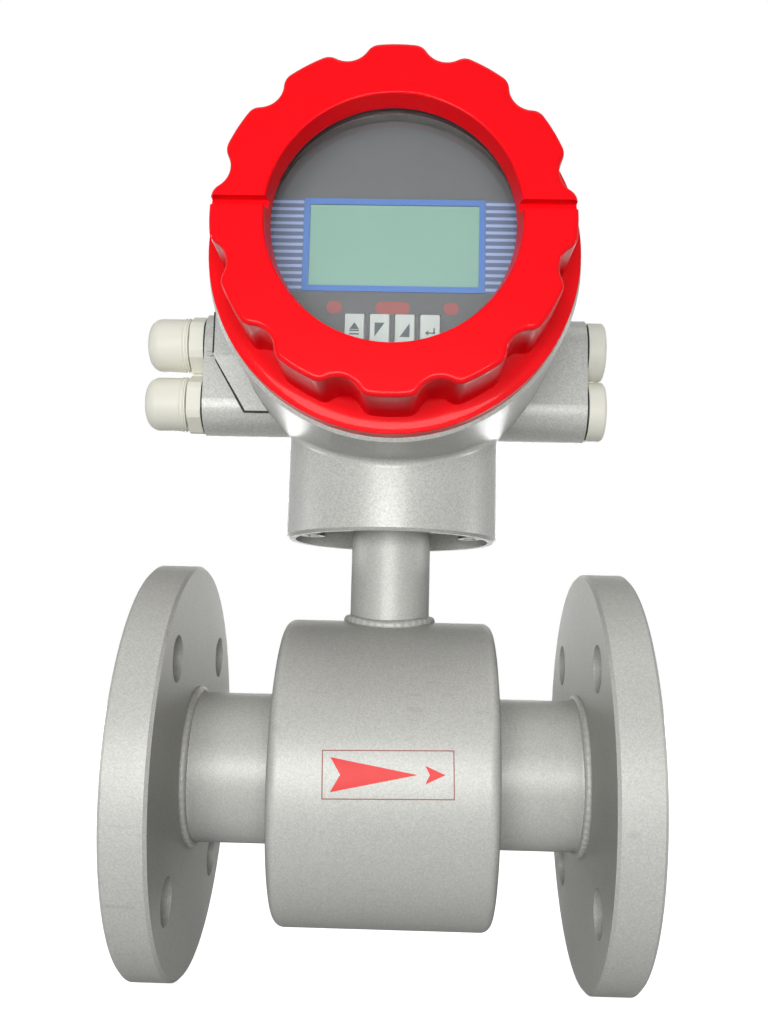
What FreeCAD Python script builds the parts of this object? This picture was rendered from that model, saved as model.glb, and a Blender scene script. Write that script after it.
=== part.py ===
import FreeCAD, Part
import math
import os
import re
import Sketcher
from FreeCAD import Placement, Rotation, Vector

# Electromagnetic flow meter, DN 50, compact form: a lined measuring tube between two
# bolting flanges, a welded coil housing round its middle, a neck, and a cast converter
# head with a windowed front cover, a plain rear cover, cable glands and blanking plugs.
#
# Frame, millimetres: origin on the tube's axis midway between the flange faces,
# +X along the flow, +Y to the rear of the head, +Z up the neck.

SIZES = [
    # measuring tube and its lining
    ("bore_diameter", 50.0),
    ("liner_wall", 2.55),
    ("liner_flare_thickness", 2.5),
    ("liner_flare_diameter", 96.0),
    ("tube_wall", 2.6),
    ("face_to_face", 200.0),
    # flanges
    ("flange_diameter", 165.0),
    ("flange_thickness", 17.0),
    ("flange_edge", 1.2),
    ("raised_face_diameter", 99.0),
    ("raised_face_height", 1.5),
    ("bolt_circle", 125.0),
    ("bolt_hole_diameter", 18.0),
    ("weld_leg", 3.0),
    # coil housing and what it holds
    ("housing_diameter", 122.4),
    ("housing_length", 84.8),
    ("housing_wall", 3.0),
    ("housing_edge", 4.0),
    ("shoe_gap", 0.3),
    ("shoe_thickness", 3.0),
    ("shoe_length", 40.0),
    ("shoe_width", 44.0),
    ("core_diameter", 14.0),
    ("coil_diameter", 40.0),
    ("coil_clearance", 0.4),
    ("yoke_thickness", 2.0),
    ("yoke_length", 44.0),
    ("yoke_clearance", 1.0),
    ("electrode_head_diameter", 9.0),
    ("electrode_head_seat", 0.55),
    ("electrode_shank_diameter", 5.0),
    ("electrode_tail", 3.0),
    ("electrode_sleeve_wall", 1.6),
    ("electrode_sleeve_length", 8.0),
    ("electrode_nut_width", 9.0),
    ("electrode_nut_height", 4.0),
    ("electrode_play", 0.1),
    # neck
    ("neck_diameter", 33.0),
    ("neck_wall", 3.0),
    ("neck_flange_play", 0.6),
    ("neck_flange_thickness", 6.0),
    ("neck_gasket_thickness", 1.0),
    ("neck_bolt_inset", 6.7),
    ("neck_bolt_diameter", 6.0),
    ("neck_bolt_head_diameter", 10.0),
    ("neck_bolt_head_height", 4.0),
    ("neck_bolt_reach", 10.8),
    ("neck_washer_diameter", 12.0),
    ("neck_washer_thickness", 1.2),
    # converter head casting
    ("cup_diameter", 88.4),
    ("head_standoff", 33.8),
    ("cup_recess", 14.0),
    ("cup_wall", 3.6),
    ("cup_floor", 5.0),
    ("cup_edge", 1.2),
    ("crease_radius", 3.0),
    ("wire_hole_diameter", 24.0),
    ("cup_height", 27.2),
    ("drum_rim", 1.3),
    ("drum_front_reach", 80.0),
    ("drum_rear_reach", 62.0),
    ("drum_wall", 4.8),
    ("drum_edge", 1.0),
    ("end_wall", 4.0),
    ("partition_place", 16.0),
    ("partition_wall", 3.0),
    ("spigot_diameter", 105.0),
    ("spigot_length", 16.0),
    ("spigot_wall", 4.0),
    ("boss_proud", 13.7),
    ("boss_margin", 1.6),
    ("entry_drop", 23.5),
    ("entry_spacing", 0.8),
    ("entry_thread_diameter", 20.0),
    ("thread_clearance", 0.3),
    # covers
    ("cover_gap", 0.3),
    ("glazing_room", 4.1),
    ("rear_cover_room", 9.0),
    ("ring_land", 1.6),
    ("cover_ring_height", 7.0),
    ("lobe_height", 4.1),
    ("lobe_count", 12.0),
    ("cover_skin", 3.7),
    ("scallop_radius", 8.0),
    ("lobe_rounding", 5.0),
    ("flare_radius", 9.0),
    ("flare_sink", 0.8),
    ("cover_face_edge", 1.6),
    ("window_lap", 5.5),
    ("window_taper", 1.6),
    ("window_lip", 7.2),
    ("cover_wall", 4.0),
    ("slot_width", 3.0),
    ("slot_depth", 4.0),
    ("slot_offset", 4.6),
    ("glass_margin", 0.5),
    ("glass_thickness", 6.0),
    ("glass_gasket_thickness", 0.8),
    ("retainer_width", 4.6),
    ("retainer_thickness", 3.6),
    ("ring_cord_diameter", 2.4),
    # display and electronics
    ("panel_setback", 6.0),
    ("panel_play", 2.3),
    ("panel_thickness", 1.5),
    ("screen_width", 59.3),
    ("screen_height", 29.5),
    ("frame_border", 2.1),
    ("frame_thickness", 0.5),
    ("screen_thickness", 3.0),
    ("key_width", 6.6),
    ("key_height", 11.0),
    ("key_gap", 0.5),
    ("key_space", 8.25),
    ("key_proud", 0.9),
    ("key_travel", 0.7),
    ("key_clearance", 0.3),
    ("key_rim", 0.8),
    ("key_rim_thickness", 0.8),
    ("board_thickness", 1.6),
    ("display_board_gap", 6.0),
    ("main_board_gap", 24.0),
    ("board_play", 4.5),
    ("post_inset", 6.0),
    ("post_diameter", 6.0),
    ("part_inset", 29.0),
    ("part_rise", 17.0),
    ("transformer_width", 28.0),
    ("transformer_height", 24.0),
    ("transformer_depth", 20.0),
    ("capacitor_diameter", 16.0),
    ("capacitor_length", 18.0),
    ("relay_width", 20.0),
    ("relay_height", 16.0),
    ("relay_depth", 15.0),
    ("connector_width", 26.0),
    ("connector_height", 8.0),
    ("connector_depth", 9.0),
    ("terminal_width", 70.0),
    ("terminal_height", 17.0),
    ("terminal_depth", 15.0),
    ("terminal_rise", 22.0),
    ("terminal_count", 8.0),
    # glands and plugs
    ("gland_hex_relief", 2.0),
    ("gland_hex_length", 6.0),
    ("gland_shank_length", 12.0),
    ("gland_seal_thickness", 1.0),
    ("seal_relief", 1.4),
    ("gland_stem_diameter", 17.0),
    ("gland_stem_length", 10.0),
    ("gland_nut_gap", 0.8),
    ("gland_nut_length", 18.0),
    ("gland_nut_relief", 2.4),
    ("gland_face_width", 0.4),
    ("gland_mouth_margin", 1.5),
    ("cable_diameter", 8.0),
    ("stem_bore_margin", 2.0),
    ("fitting_diameter", 25.4),
    ("plug_head_height", 7.4),
    ("plug_edge", 1.6),
    ("plug_shank_length", 11.0),
    # plate and screw on the left boss
    ("plate_gap", 0.8),
    ("plate_depth", 9.0),
    ("plate_top", 22.0),
    ("plate_bend", 3.0),
    ("plate_bottom", 18.4),
    ("plate_inset", 5.8),
    ("plate_corner", 12.8),
    ("earth_screw_diameter", 3.6),
]

ALIASES = {name for name, value in SIZES}
TURN = {
    "front": Rotation(Vector(0, 0, 1), -90),
    "rear": Rotation(Vector(0, 0, 1), 90),
    "right": Rotation(),
    "left": Rotation(Vector(0, 0, 1), 180),
    "up": Rotation(Vector(0, 1, 0), -90),
    "down": Rotation(Vector(0, 1, 0), 90),
}

doc = FreeCAD.newDocument("FlowMeter")
sheet = doc.addObject("Spreadsheet::Sheet", "Sizes")
for row, (name, value) in enumerate(SIZES, start=1):
    sheet.set(f"A{row}", name)
    sheet.set(f"B{row}", str(value))
    sheet.setAlias(f"B{row}", name)
doc.recompute()

nodes = {}


# ---------------------------------------------------------------- drawing helpers


def sized(text):
    """Turn plain size names in a formula into references to the sheet."""
    return re.sub(r"[a-z_]+", lambda word: _reference(word.group(0)), text)


def _reference(word):
    return f"Sizes.{word}" if word in ALIASES else word


def number(text):
    """The present value of a formula written in size names."""
    return float(sheet.evalExpression(sized(text)))


def bind(item, **formulas):
    """Bind properties of a document object to formulas in size names."""
    for name, formula in formulas.items():
        item.setExpression(name, sized(formula))


def place(item, rotation, x="0", y="0", z="0"):
    """Turn an object and bind its position to formulas."""
    item.Placement = Placement(Vector(), rotation)
    for axis, formula in (("x", x), ("y", y), ("z", z)):
        item.setExpression(f"Placement.Base.{axis}", sized(formula))
    return item


def node(item, label):
    """Name a finished piece; its label is its file's name."""
    item.Label = label
    nodes[label] = item
    return item


def body_plane(body, role):
    return next(item for item in body.Origin.OriginFeatures if item.Role == role)


def outline(body, name, corners, role="XZ_Plane"):
    """A closed sketch of straight edges and arcs.

    corners holds (u, v) formulas. An entry may carry a third item, a pair of
    formulas for the centre of an arc that runs from this corner to the next, and a
    fourth, True where that arc runs clockwise.
    """
    sketch = body.newObject("Sketcher::SketchObject", name)
    sketch.AttachmentSupport = [(body_plane(body, role), "")]
    sketch.MapMode = "FlatFace"
    spots = [Vector(number(corner[0]), number(corner[1]), 0) for corner in corners]
    count = len(corners)
    for index, corner in enumerate(corners):
        start, end = spots[index], spots[(index + 1) % count]
        if len(corner) > 2:
            sketch.addGeometry(arc_between(start, end, corner), False)
        else:
            sketch.addGeometry(Part.LineSegment(start, end), False)
    for index, corner in enumerate(corners):
        clockwise = len(corner) > 3 and corner[3]
        after = corners[(index + 1) % count]
        after_clockwise = len(after) > 3 and after[3]
        end_point = 1 if clockwise else 2
        start_point = 2 if after_clockwise else 1
        sketch.addConstraint(
            Sketcher.Constraint("Coincident", index, end_point, (index + 1) % count, start_point)
        )
    for index, corner in enumerate(corners):
        clockwise = len(corner) > 3 and corner[3]
        fix_point(sketch, index, 2 if clockwise else 1, corner[0], corner[1])
        if len(corner) > 2:
            centre = corner[2]
            direction, formula = arc_lock(corner, corners[(index + 1) % count])
            lock = sketch.addConstraint(
                Sketcher.Constraint(direction, -1, 1, index, 3, number(formula))
            )
            sketch.setExpression(f"Constraints[{lock}]", sized(formula))
    return sketch


def arc_lock(corner, after):
    """The centre coordinate that fixes an arc whose two ends are already fixed."""
    run = abs(number(after[0]) - number(corner[0]))
    rise = abs(number(after[1]) - number(corner[1]))
    return ("DistanceY", corner[2][1]) if run > rise else ("DistanceX", corner[2][0])


def arc_between(start, end, corner):
    centre = Vector(number(corner[2][0]), number(corner[2][1]), 0)
    clockwise = len(corner) > 3 and corner[3]
    first, last = (end, start) if clockwise else (start, end)
    circle = Part.Circle(centre, Vector(0, 0, 1), (first - centre).Length)
    begin = math.atan2(first.y - centre.y, first.x - centre.x)
    finish = math.atan2(last.y - centre.y, last.x - centre.x)
    return Part.ArcOfCircle(circle, begin, finish)


def fix_point(sketch, geometry, point, u, v):
    """Fix a sketch point at (u, v) from the origin, both bound to the sheet."""
    for kind, formula in (("DistanceX", u), ("DistanceY", v)):
        lock = sketch.addConstraint(
            Sketcher.Constraint(kind, -1, 1, geometry, point, number(formula))
        )
        sketch.setExpression(f"Constraints[{lock}]", sized(formula))


def turned(name, corners, direction, x="0", y="0", z="0"):
    """A piece turned on a lathe: corners are (along the axis, radius) formulas."""
    body = doc.addObject("PartDesign::Body", name)
    sketch = outline(body, name + "_profile", corners)
    turn = body.newObject("PartDesign::Revolution", name + "_turn")
    turn.Profile = sketch
    turn.ReferenceAxis = (sketch, ["H_Axis"])
    turn.Angle = 360
    place(body, TURN[direction], x, y, z)
    doc.recompute()
    return body


def ring_edges(shape, along, radius):
    """Names of the circular edges round the X axis at one place and radius."""
    found = []
    for index, edge in enumerate(shape.Edges, start=1):
        curve = edge.Curve
        if not isinstance(curve, Part.Circle):
            continue
        on_axis = math.hypot(curve.Center.y, curve.Center.z) < 1e-4
        here = abs(curve.Center.x - along) < 1e-4
        if on_axis and here and abs(curve.Radius - radius) < 1e-4:
            found.append(f"Edge{index}")
    return found


def soften(body, name, size, rings, kind="Fillet"):
    """Round or chamfer circular edges of a turned body, given as (along, radius)."""
    base = body.Tip
    edges = []
    for along, radius in rings:
        edges += ring_edges(base.Shape, number(along), number(radius))
    feature = body.newObject(f"PartDesign::{kind}", name)
    feature.Base = (base, edges)
    bind(feature, **{"Radius" if kind == "Fillet" else "Size": size})
    doc.recompute()
    return feature


def rod(name, diameter, length, direction, x="0", y="0", z="0"):
    """A plain round bar that starts at a point and runs in a direction."""
    bar = doc.addObject("Part::Cylinder", name)
    bind(bar, Radius=f"({diameter}) / 2", Height=length)
    along = TURN[direction].multVec(Vector(1, 0, 0))
    return place(bar, Rotation(Vector(0, 0, 1), along), x, y, z)


def block(name, length, width, height, x="0", y="0", z="0"):
    """A box centred on x and y that stands on z."""
    box = doc.addObject("Part::Box", name)
    bind(box, Length=length, Width=width, Height=height)
    return place(box, Rotation(), f"{x} - ({length}) / 2", f"{y} - ({width}) / 2", z)


def hexagon(name, width, length, direction, x="0", y="0", z="0"):
    """A hexagon bar of a given width across its flats."""
    bar = doc.addObject("Part::Prism", name)
    bar.Polygon = 6
    bind(bar, Circumradius=f"({width}) / 2 / cos(30)", Height=length)
    along = TURN[direction].multVec(Vector(1, 0, 0))
    return place(bar, Rotation(Vector(0, 0, 1), along), x, y, z)


def fuse(name, items):
    whole = doc.addObject("Part::MultiFuse", name)
    whole.Shapes = items
    return whole


def cut(name, base, tools):
    tool = tools[0] if len(tools) == 1 else fuse(name + "_tools", tools)
    result = doc.addObject("Part::Cut", name)
    result.Base = base
    result.Tool = tool
    return result


def group(name, items):
    """Several separate solids kept as one named piece."""
    whole = doc.addObject("Part::Compound", name)
    whole.Links = items
    return whole


# ---------------------------------------------------------------- shared formulas

BORE = "bore_diameter / 2"
TUBE_IN = "(bore_diameter / 2 + liner_wall)"
TUBE_OUT = "(bore_diameter / 2 + liner_wall + tube_wall)"
STEEL_END = "(face_to_face / 2 - liner_flare_thickness)"
HOUSING_TOP = "(housing_diameter / 2)"
HOUSING_IN = "(housing_diameter / 2 - housing_wall)"
SHOE_IN = f"({TUBE_OUT} + shoe_gap)"
SHOE_OUT = f"({SHOE_IN} + shoe_thickness)"
YOKE_OUT = f"({HOUSING_IN} - yoke_clearance)"
YOKE_IN = f"({YOKE_OUT} - yoke_thickness)"

# radii of the screwed covers and of the head's drum, all driven by the spigot
SPIGOT = "(spigot_diameter / 2)"
OPENING = "(spigot_diameter / 2 - spigot_wall)"
THREAD = f"({SPIGOT} + thread_clearance)"
SCALLOP = f"({SPIGOT} + cover_skin)"
LOBE = f"({SCALLOP} + lobe_height)"
FLARE_CORE = f"({SCALLOP} - flare_sink)"
FLARE = f"({FLARE_CORE} + flare_radius)"
RING = f"({FLARE} + ring_land)"
DRUM = f"({RING} + drum_rim)"
DRUM_IN = f"({DRUM} - drum_wall)"
GLASS = f"({OPENING} - glass_margin)"
WINDOW = f"({GLASS} - window_lap)"
PANEL = f"({OPENING} - panel_play)"
BOARD = f"({OPENING} - board_play)"
POST = f"({BOARD} - post_inset)"
PART_REACH = f"({BOARD} - part_inset)"

# heights of the neck and the head
CUP_BOTTOM = f"({HOUSING_TOP} + head_standoff)"
CUP_IN = "(cup_diameter / 2 - cup_wall)"
CUP_CEILING = f"({CUP_BOTTOM} + cup_recess)"
NECK_TOP = f"({CUP_CEILING} - neck_gasket_thickness)"
NECK_SEAT = f"({NECK_TOP} - neck_flange_thickness)"
NECK_IN = "(neck_diameter / 2 - neck_wall)"
NECK_RIM = f"({CUP_IN} - neck_flange_play)"
AXIS = f"({CUP_BOTTOM} + cup_height + {DRUM})"
ENTRY = f"({AXIS} - entry_drop)"
ENTRY_PITCH = "(fitting_diameter + entry_spacing)"
BOSS_WIDTH = "(fitting_diameter + boss_margin)"
BOSS_REACH = f"({DRUM} + boss_proud)"

# places along the head
PARTITION_REAR = "partition_place"
PARTITION_FRONT = "(partition_place + partition_wall)"
GLAZING = "(retainer_thickness + glass_thickness + glass_gasket_thickness)"
FRONT_DEPTH = f"(spigot_length + glazing_room + {GLAZING} + window_lip)"
REAR_DEPTH = "(spigot_length + rear_cover_room + cover_wall)"
PANEL_PLACE = "(drum_front_reach + spigot_length - panel_setback)"

# keys
KEY_PITCH = "(key_width + 2 * key_rim + key_gap)"
KEY_DROP = "(screen_height / 2 + frame_border + key_space + key_height / 2)"
KEY_AXIS = f"({AXIS} - {KEY_DROP})"

# glands and plugs
SEAL = "((fitting_diameter - seal_relief) / 2)"
GLAND_HEX = "(fitting_diameter - gland_hex_relief)"
GLAND_NUT = "((fitting_diameter - gland_nut_relief) / 2)"
GLAND_MOUTH = "(cable_diameter / 2 + gland_mouth_margin)"
GLAND_DOME = f"({GLAND_NUT} - {GLAND_MOUTH} - gland_face_width)"
PLATE_REACH = f"({BOSS_REACH} - plate_inset)"


# ---------------------------------------------------------------- flow tube


def build_tube():
    """Steel measuring tube, with two holes for the electrodes."""
    bar = turned(
        "tube_bar",
        [
            (f"-{STEEL_END}", TUBE_IN),
            (STEEL_END, TUBE_IN),
            (STEEL_END, TUBE_OUT),
            (f"-{STEEL_END}", TUBE_OUT),
        ],
        "right",
    )
    sleeve = "electrode_shank_diameter + 2 * electrode_sleeve_wall"
    drills = [rod(f"tube_drill_{way}", sleeve, TUBE_OUT, way) for way in ("front", "rear")]
    node(cut("tube_shell", bar, drills), "measuring_tube")


def build_liner():
    """Moulded lining: a sleeve with a flare over each raised face."""
    end = "face_to_face / 2"
    flare = "liner_flare_diameter / 2"
    half = [(STEEL_END, TUBE_IN), (STEEL_END, flare), (end, flare), (end, BORE)]
    mirrored = [(f"-({along})", radius) for along, radius in reversed(half)]
    sleeve = turned("liner_sleeve", half + mirrored, "right")
    drills = [
        rod(f"liner_drill_{way}", "electrode_head_diameter", TUBE_OUT, way)
        for way in ("front", "rear")
    ]
    node(cut("liner_shell", sleeve, drills), "liner")


def weld_profile(back):
    """Corners of a concave fillet weld between the tube and a plate at back."""
    low = f"{back} - weld_leg"
    return [
        (low, TUBE_OUT, (low, f"{TUBE_OUT} + weld_leg")),
        (back, f"{TUBE_OUT} + weld_leg"),
    ]


def build_flanges():
    back = f"({STEEL_END} - raised_face_height - flange_thickness)"
    face = f"({STEEL_END} - raised_face_height)"
    rim = "flange_diameter / 2"
    for label, direction in (("inlet_flange", "left"), ("outlet_flange", "right")):
        body = turned(
            label + "_body",
            weld_profile(back)
            + [
                (back, rim),
                (face, rim),
                (face, "raised_face_diameter / 2"),
                (STEEL_END, "raised_face_diameter / 2"),
                (STEEL_END, TUBE_OUT),
            ],
            direction,
        )
        sketch = body.newObject("Sketcher::SketchObject", label + "_hole_place")
        sketch.AttachmentSupport = [(body_plane(body, "YZ_Plane"), "")]
        sketch.MapMode = "FlatFace"
        u, v = "bolt_circle / 2 * cos(45)", "bolt_circle / 2 * sin(45)"
        hole_size = number("bolt_hole_diameter")
        spot = Vector(number(u), number(v), 0)
        sketch.addGeometry(Part.Circle(spot, Vector(0, 0, 1), hole_size / 2), False)
        fix_point(sketch, 0, 3, u, v)
        size = sketch.addConstraint(Sketcher.Constraint("Diameter", 0, hole_size))
        sketch.setExpression(f"Constraints[{size}]", sized("bolt_hole_diameter"))
        hole = body.newObject("PartDesign::Pocket", label + "_hole")
        hole.Profile = sketch
        hole.Type = "ThroughAll"
        hole.Reversed = True
        doc.recompute()
        pattern = body.newObject("PartDesign::PolarPattern", label + "_holes")
        pattern.Originals = [hole]
        pattern.Axis = (sketch, ["N_Axis"])
        pattern.Angle = 360
        pattern.Occurrences = 4
        body.Tip = pattern
        doc.recompute()
        soften(body, label + "_edges", "flange_edge", [(back, rim), (face, rim)], "Chamfer")
        node(body, label)


# ---------------------------------------------------------------- coil housing


def build_housing():
    """Welded coil housing: a drum with rounded edges, closed on the tube at each end."""
    end = "housing_length / 2"
    radius = "housing_diameter / 2"
    inner_end = "(housing_length / 2 - housing_wall)"
    body = turned(
        "housing_body",
        [
            (f"-{end}", TUBE_OUT),
            (f"-{inner_end}", TUBE_OUT),
            (f"-{inner_end}", HOUSING_IN),
            (inner_end, HOUSING_IN),
            (inner_end, TUBE_OUT),
            (end, TUBE_OUT),
            (end, radius),
            (f"-{end}", radius),
        ],
        "right",
    )
    soften(body, "housing_rounding", "housing_edge", [(end, radius), (f"-{end}", radius)])
    neck_hole = rod("housing_neck_hole", "neck_diameter", radius, "up")
    node(cut("housing_shell", body, [neck_hole]), "coil_housing")


def build_magnet(side, direction):
    """One field coil with its pole shoe: a saddle on the tube and a round core."""
    saddle_ring = turned(
        side + "_saddle_ring",
        [
            ("-shoe_length / 2", SHOE_IN),
            ("shoe_length / 2", SHOE_IN),
            ("shoe_length / 2", SHOE_OUT),
            ("-shoe_length / 2", SHOE_OUT),
        ],
        "right",
    )
    window = block(side + "_saddle_window", "shoe_length", "shoe_width", SHOE_OUT)
    if direction == "down":
        window.setExpression("Placement.Base.z", sized(f"-{SHOE_OUT}"))
    saddle = doc.addObject("Part::Common", side + "_saddle")
    saddle.Base = saddle_ring
    saddle.Tool = window
    seat = f"({SHOE_IN} + shoe_thickness / 2)"
    top = f"sqrt({YOKE_IN} * {YOKE_IN} - core_diameter * core_diameter / 4)"
    rise = seat if direction == "up" else f"-{seat}"
    core = rod(side + "_core", "core_diameter", f"{top} - {seat}", direction, z=rise)
    node(fuse(side + "_shoe", [saddle, core]), side + "_pole_shoe")
    low = f"({SHOE_OUT} + coil_clearance)"
    high = f"(sqrt({YOKE_IN} * {YOKE_IN} - coil_diameter * coil_diameter / 4) - coil_clearance)"
    coil = turned(
        side + "_winding",
        [
            (low, "core_diameter / 2 + coil_clearance"),
            (high, "core_diameter / 2 + coil_clearance"),
            (high, "coil_diameter / 2"),
            (low, "coil_diameter / 2"),
        ],
        direction,
    )
    soften(
        coil,
        side + "_winding_edges",
        "coil_clearance * 4",
        [(low, "coil_diameter / 2"), (high, "coil_diameter / 2")],
    )
    node(coil, side + "_coil")


def build_yoke():
    """Return ring that carries the field from one pole round to the other."""
    ring = turned(
        "yoke_ring",
        [
            ("-yoke_length / 2", YOKE_IN),
            ("yoke_length / 2", YOKE_IN),
            ("yoke_length / 2", YOKE_OUT),
            ("-yoke_length / 2", YOKE_OUT),
        ],
        "right",
    )
    opening = rod("yoke_wire_hole", "core_diameter * 2 / 3", YOKE_OUT, "up", x="yoke_length / 2")
    node(cut("yoke_drilled", ring, [opening]), "return_yoke")


def build_electrode(side, direction):
    """Sensing electrode: head flush with the lining, insulated shank and its nut."""
    head_end = f"({TUBE_IN} - electrode_head_seat)"
    sleeve_end = f"({head_end} + electrode_sleeve_length)"
    tip = f"({sleeve_end} + electrode_nut_height + electrode_tail)"
    shank = "electrode_shank_diameter / 2"
    head = "electrode_head_diameter / 2 - electrode_play"
    pin = turned(
        side + "_pin",
        [
            (BORE, "0"),
            (BORE, head),
            (head_end, head),
            (head_end, shank),
            (tip, shank),
            (tip, "0"),
        ],
        direction,
    )
    node(pin, side + "_electrode")
    inner = f"({shank} + electrode_play / 2)"
    outer = f"({shank} + electrode_sleeve_wall - electrode_play / 2)"
    sleeve = turned(
        side + "_sleeve",
        [
            (head_end, inner),
            (head_end, outer),
            (sleeve_end, outer),
            (sleeve_end, inner),
        ],
        direction,
    )
    node(sleeve, side + "_electrode_sleeve")
    sign = "-" if direction == "front" else ""
    start = f"{sign}{sleeve_end}"
    hexa = hexagon(
        side + "_nut_bar", "electrode_nut_width", "electrode_nut_height", direction, y=start
    )
    bore = rod(
        side + "_nut_bore",
        "electrode_shank_diameter + electrode_play",
        "electrode_nut_height",
        direction,
        y=start,
    )
    node(cut(side + "_nut", hexa, [bore]), side + "_electrode_nut")


# ---------------------------------------------------------------- neck


def build_neck():
    """Neck tube with its weld, the round flange on top, gasket, bolts and washers."""
    foot = HOUSING_IN
    radius = "neck_diameter / 2"
    tube = turned(
        "neck_bar",
        [(foot, NECK_IN), (NECK_TOP, NECK_IN), (NECK_TOP, radius), (foot, radius)],
        "up",
    )
    node(tube, "neck_tube")
    flange = turned(
        "neck_disc",
        [
            (NECK_SEAT, radius),
            (NECK_TOP, radius),
            (NECK_TOP, NECK_RIM),
            (NECK_SEAT, NECK_RIM),
        ],
        "up",
    )
    node(cut("neck_disc_drilled", flange, bolt_drills("neck_disc", NECK_SEAT)), "neck_flange")
    gasket = turned(
        "neck_gasket_disc",
        [
            (NECK_TOP, NECK_IN),
            (CUP_CEILING, NECK_IN),
            (CUP_CEILING, NECK_RIM),
            (NECK_TOP, NECK_RIM),
        ],
        "up",
    )
    node(cut("neck_gasket_drilled", gasket, bolt_drills("neck_gasket", NECK_TOP)), "neck_gasket")
    bolts = []
    washers = []
    washer_face = f"({NECK_SEAT} - neck_washer_thickness)"
    bolt_length = f"{CUP_CEILING} + neck_bolt_reach - {washer_face}"
    for index, (x, y) in enumerate(neck_bolt_places(), start=1):
        shank = rod(
            f"neck_bolt_shank_{index}", "neck_bolt_diameter", bolt_length, "up",
            x, y, washer_face,
        )
        head = rod(
            f"neck_bolt_head_{index}", "neck_bolt_head_diameter", "neck_bolt_head_height", "down",
            x, y, washer_face,
        )
        socket = hexagon(
            f"neck_bolt_socket_{index}", "neck_bolt_head_diameter / 2",
            "neck_bolt_head_height / 2", "up", x, y, f"{washer_face} - neck_bolt_head_height",
        )
        solid = fuse(f"neck_bolt_blank_{index}", [shank, head])
        bolts.append(cut(f"neck_bolt_{index}", solid, [socket]))
        disc = rod(
            f"neck_washer_disc_{index}", "neck_washer_diameter", "neck_washer_thickness", "up",
            x, y, washer_face,
        )
        hole = rod(
            f"neck_washer_hole_{index}", "neck_bolt_diameter + thread_clearance * 2",
            "neck_washer_thickness", "up", x, y, washer_face,
        )
        washers.append(cut(f"neck_washer_{index}", disc, [hole]))
    node(group("neck_bolt_set", bolts), "neck_bolts")
    node(group("neck_washer_set", washers), "neck_washers")


def neck_bolt_places():
    reach = f"({NECK_RIM} - neck_bolt_inset)"
    return [(reach, "0"), ("0", reach), (f"-{reach}", "0"), ("0", f"-{reach}")]


def bolt_drills(name, start):
    return [
        rod(
            f"{name}_drill_{index}", "neck_bolt_diameter + thread_clearance * 2",
            "neck_flange_thickness", "up", x, y, start,
        )
        for index, (x, y) in enumerate(neck_bolt_places(), start=1)
    ]


# ---------------------------------------------------------------- converter head


def entry_heights():
    return [
        ("upper", f"{ENTRY} + {ENTRY_PITCH} / 2"),
        ("lower", f"{ENTRY} - {ENTRY_PITCH} / 2"),
    ]


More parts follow.
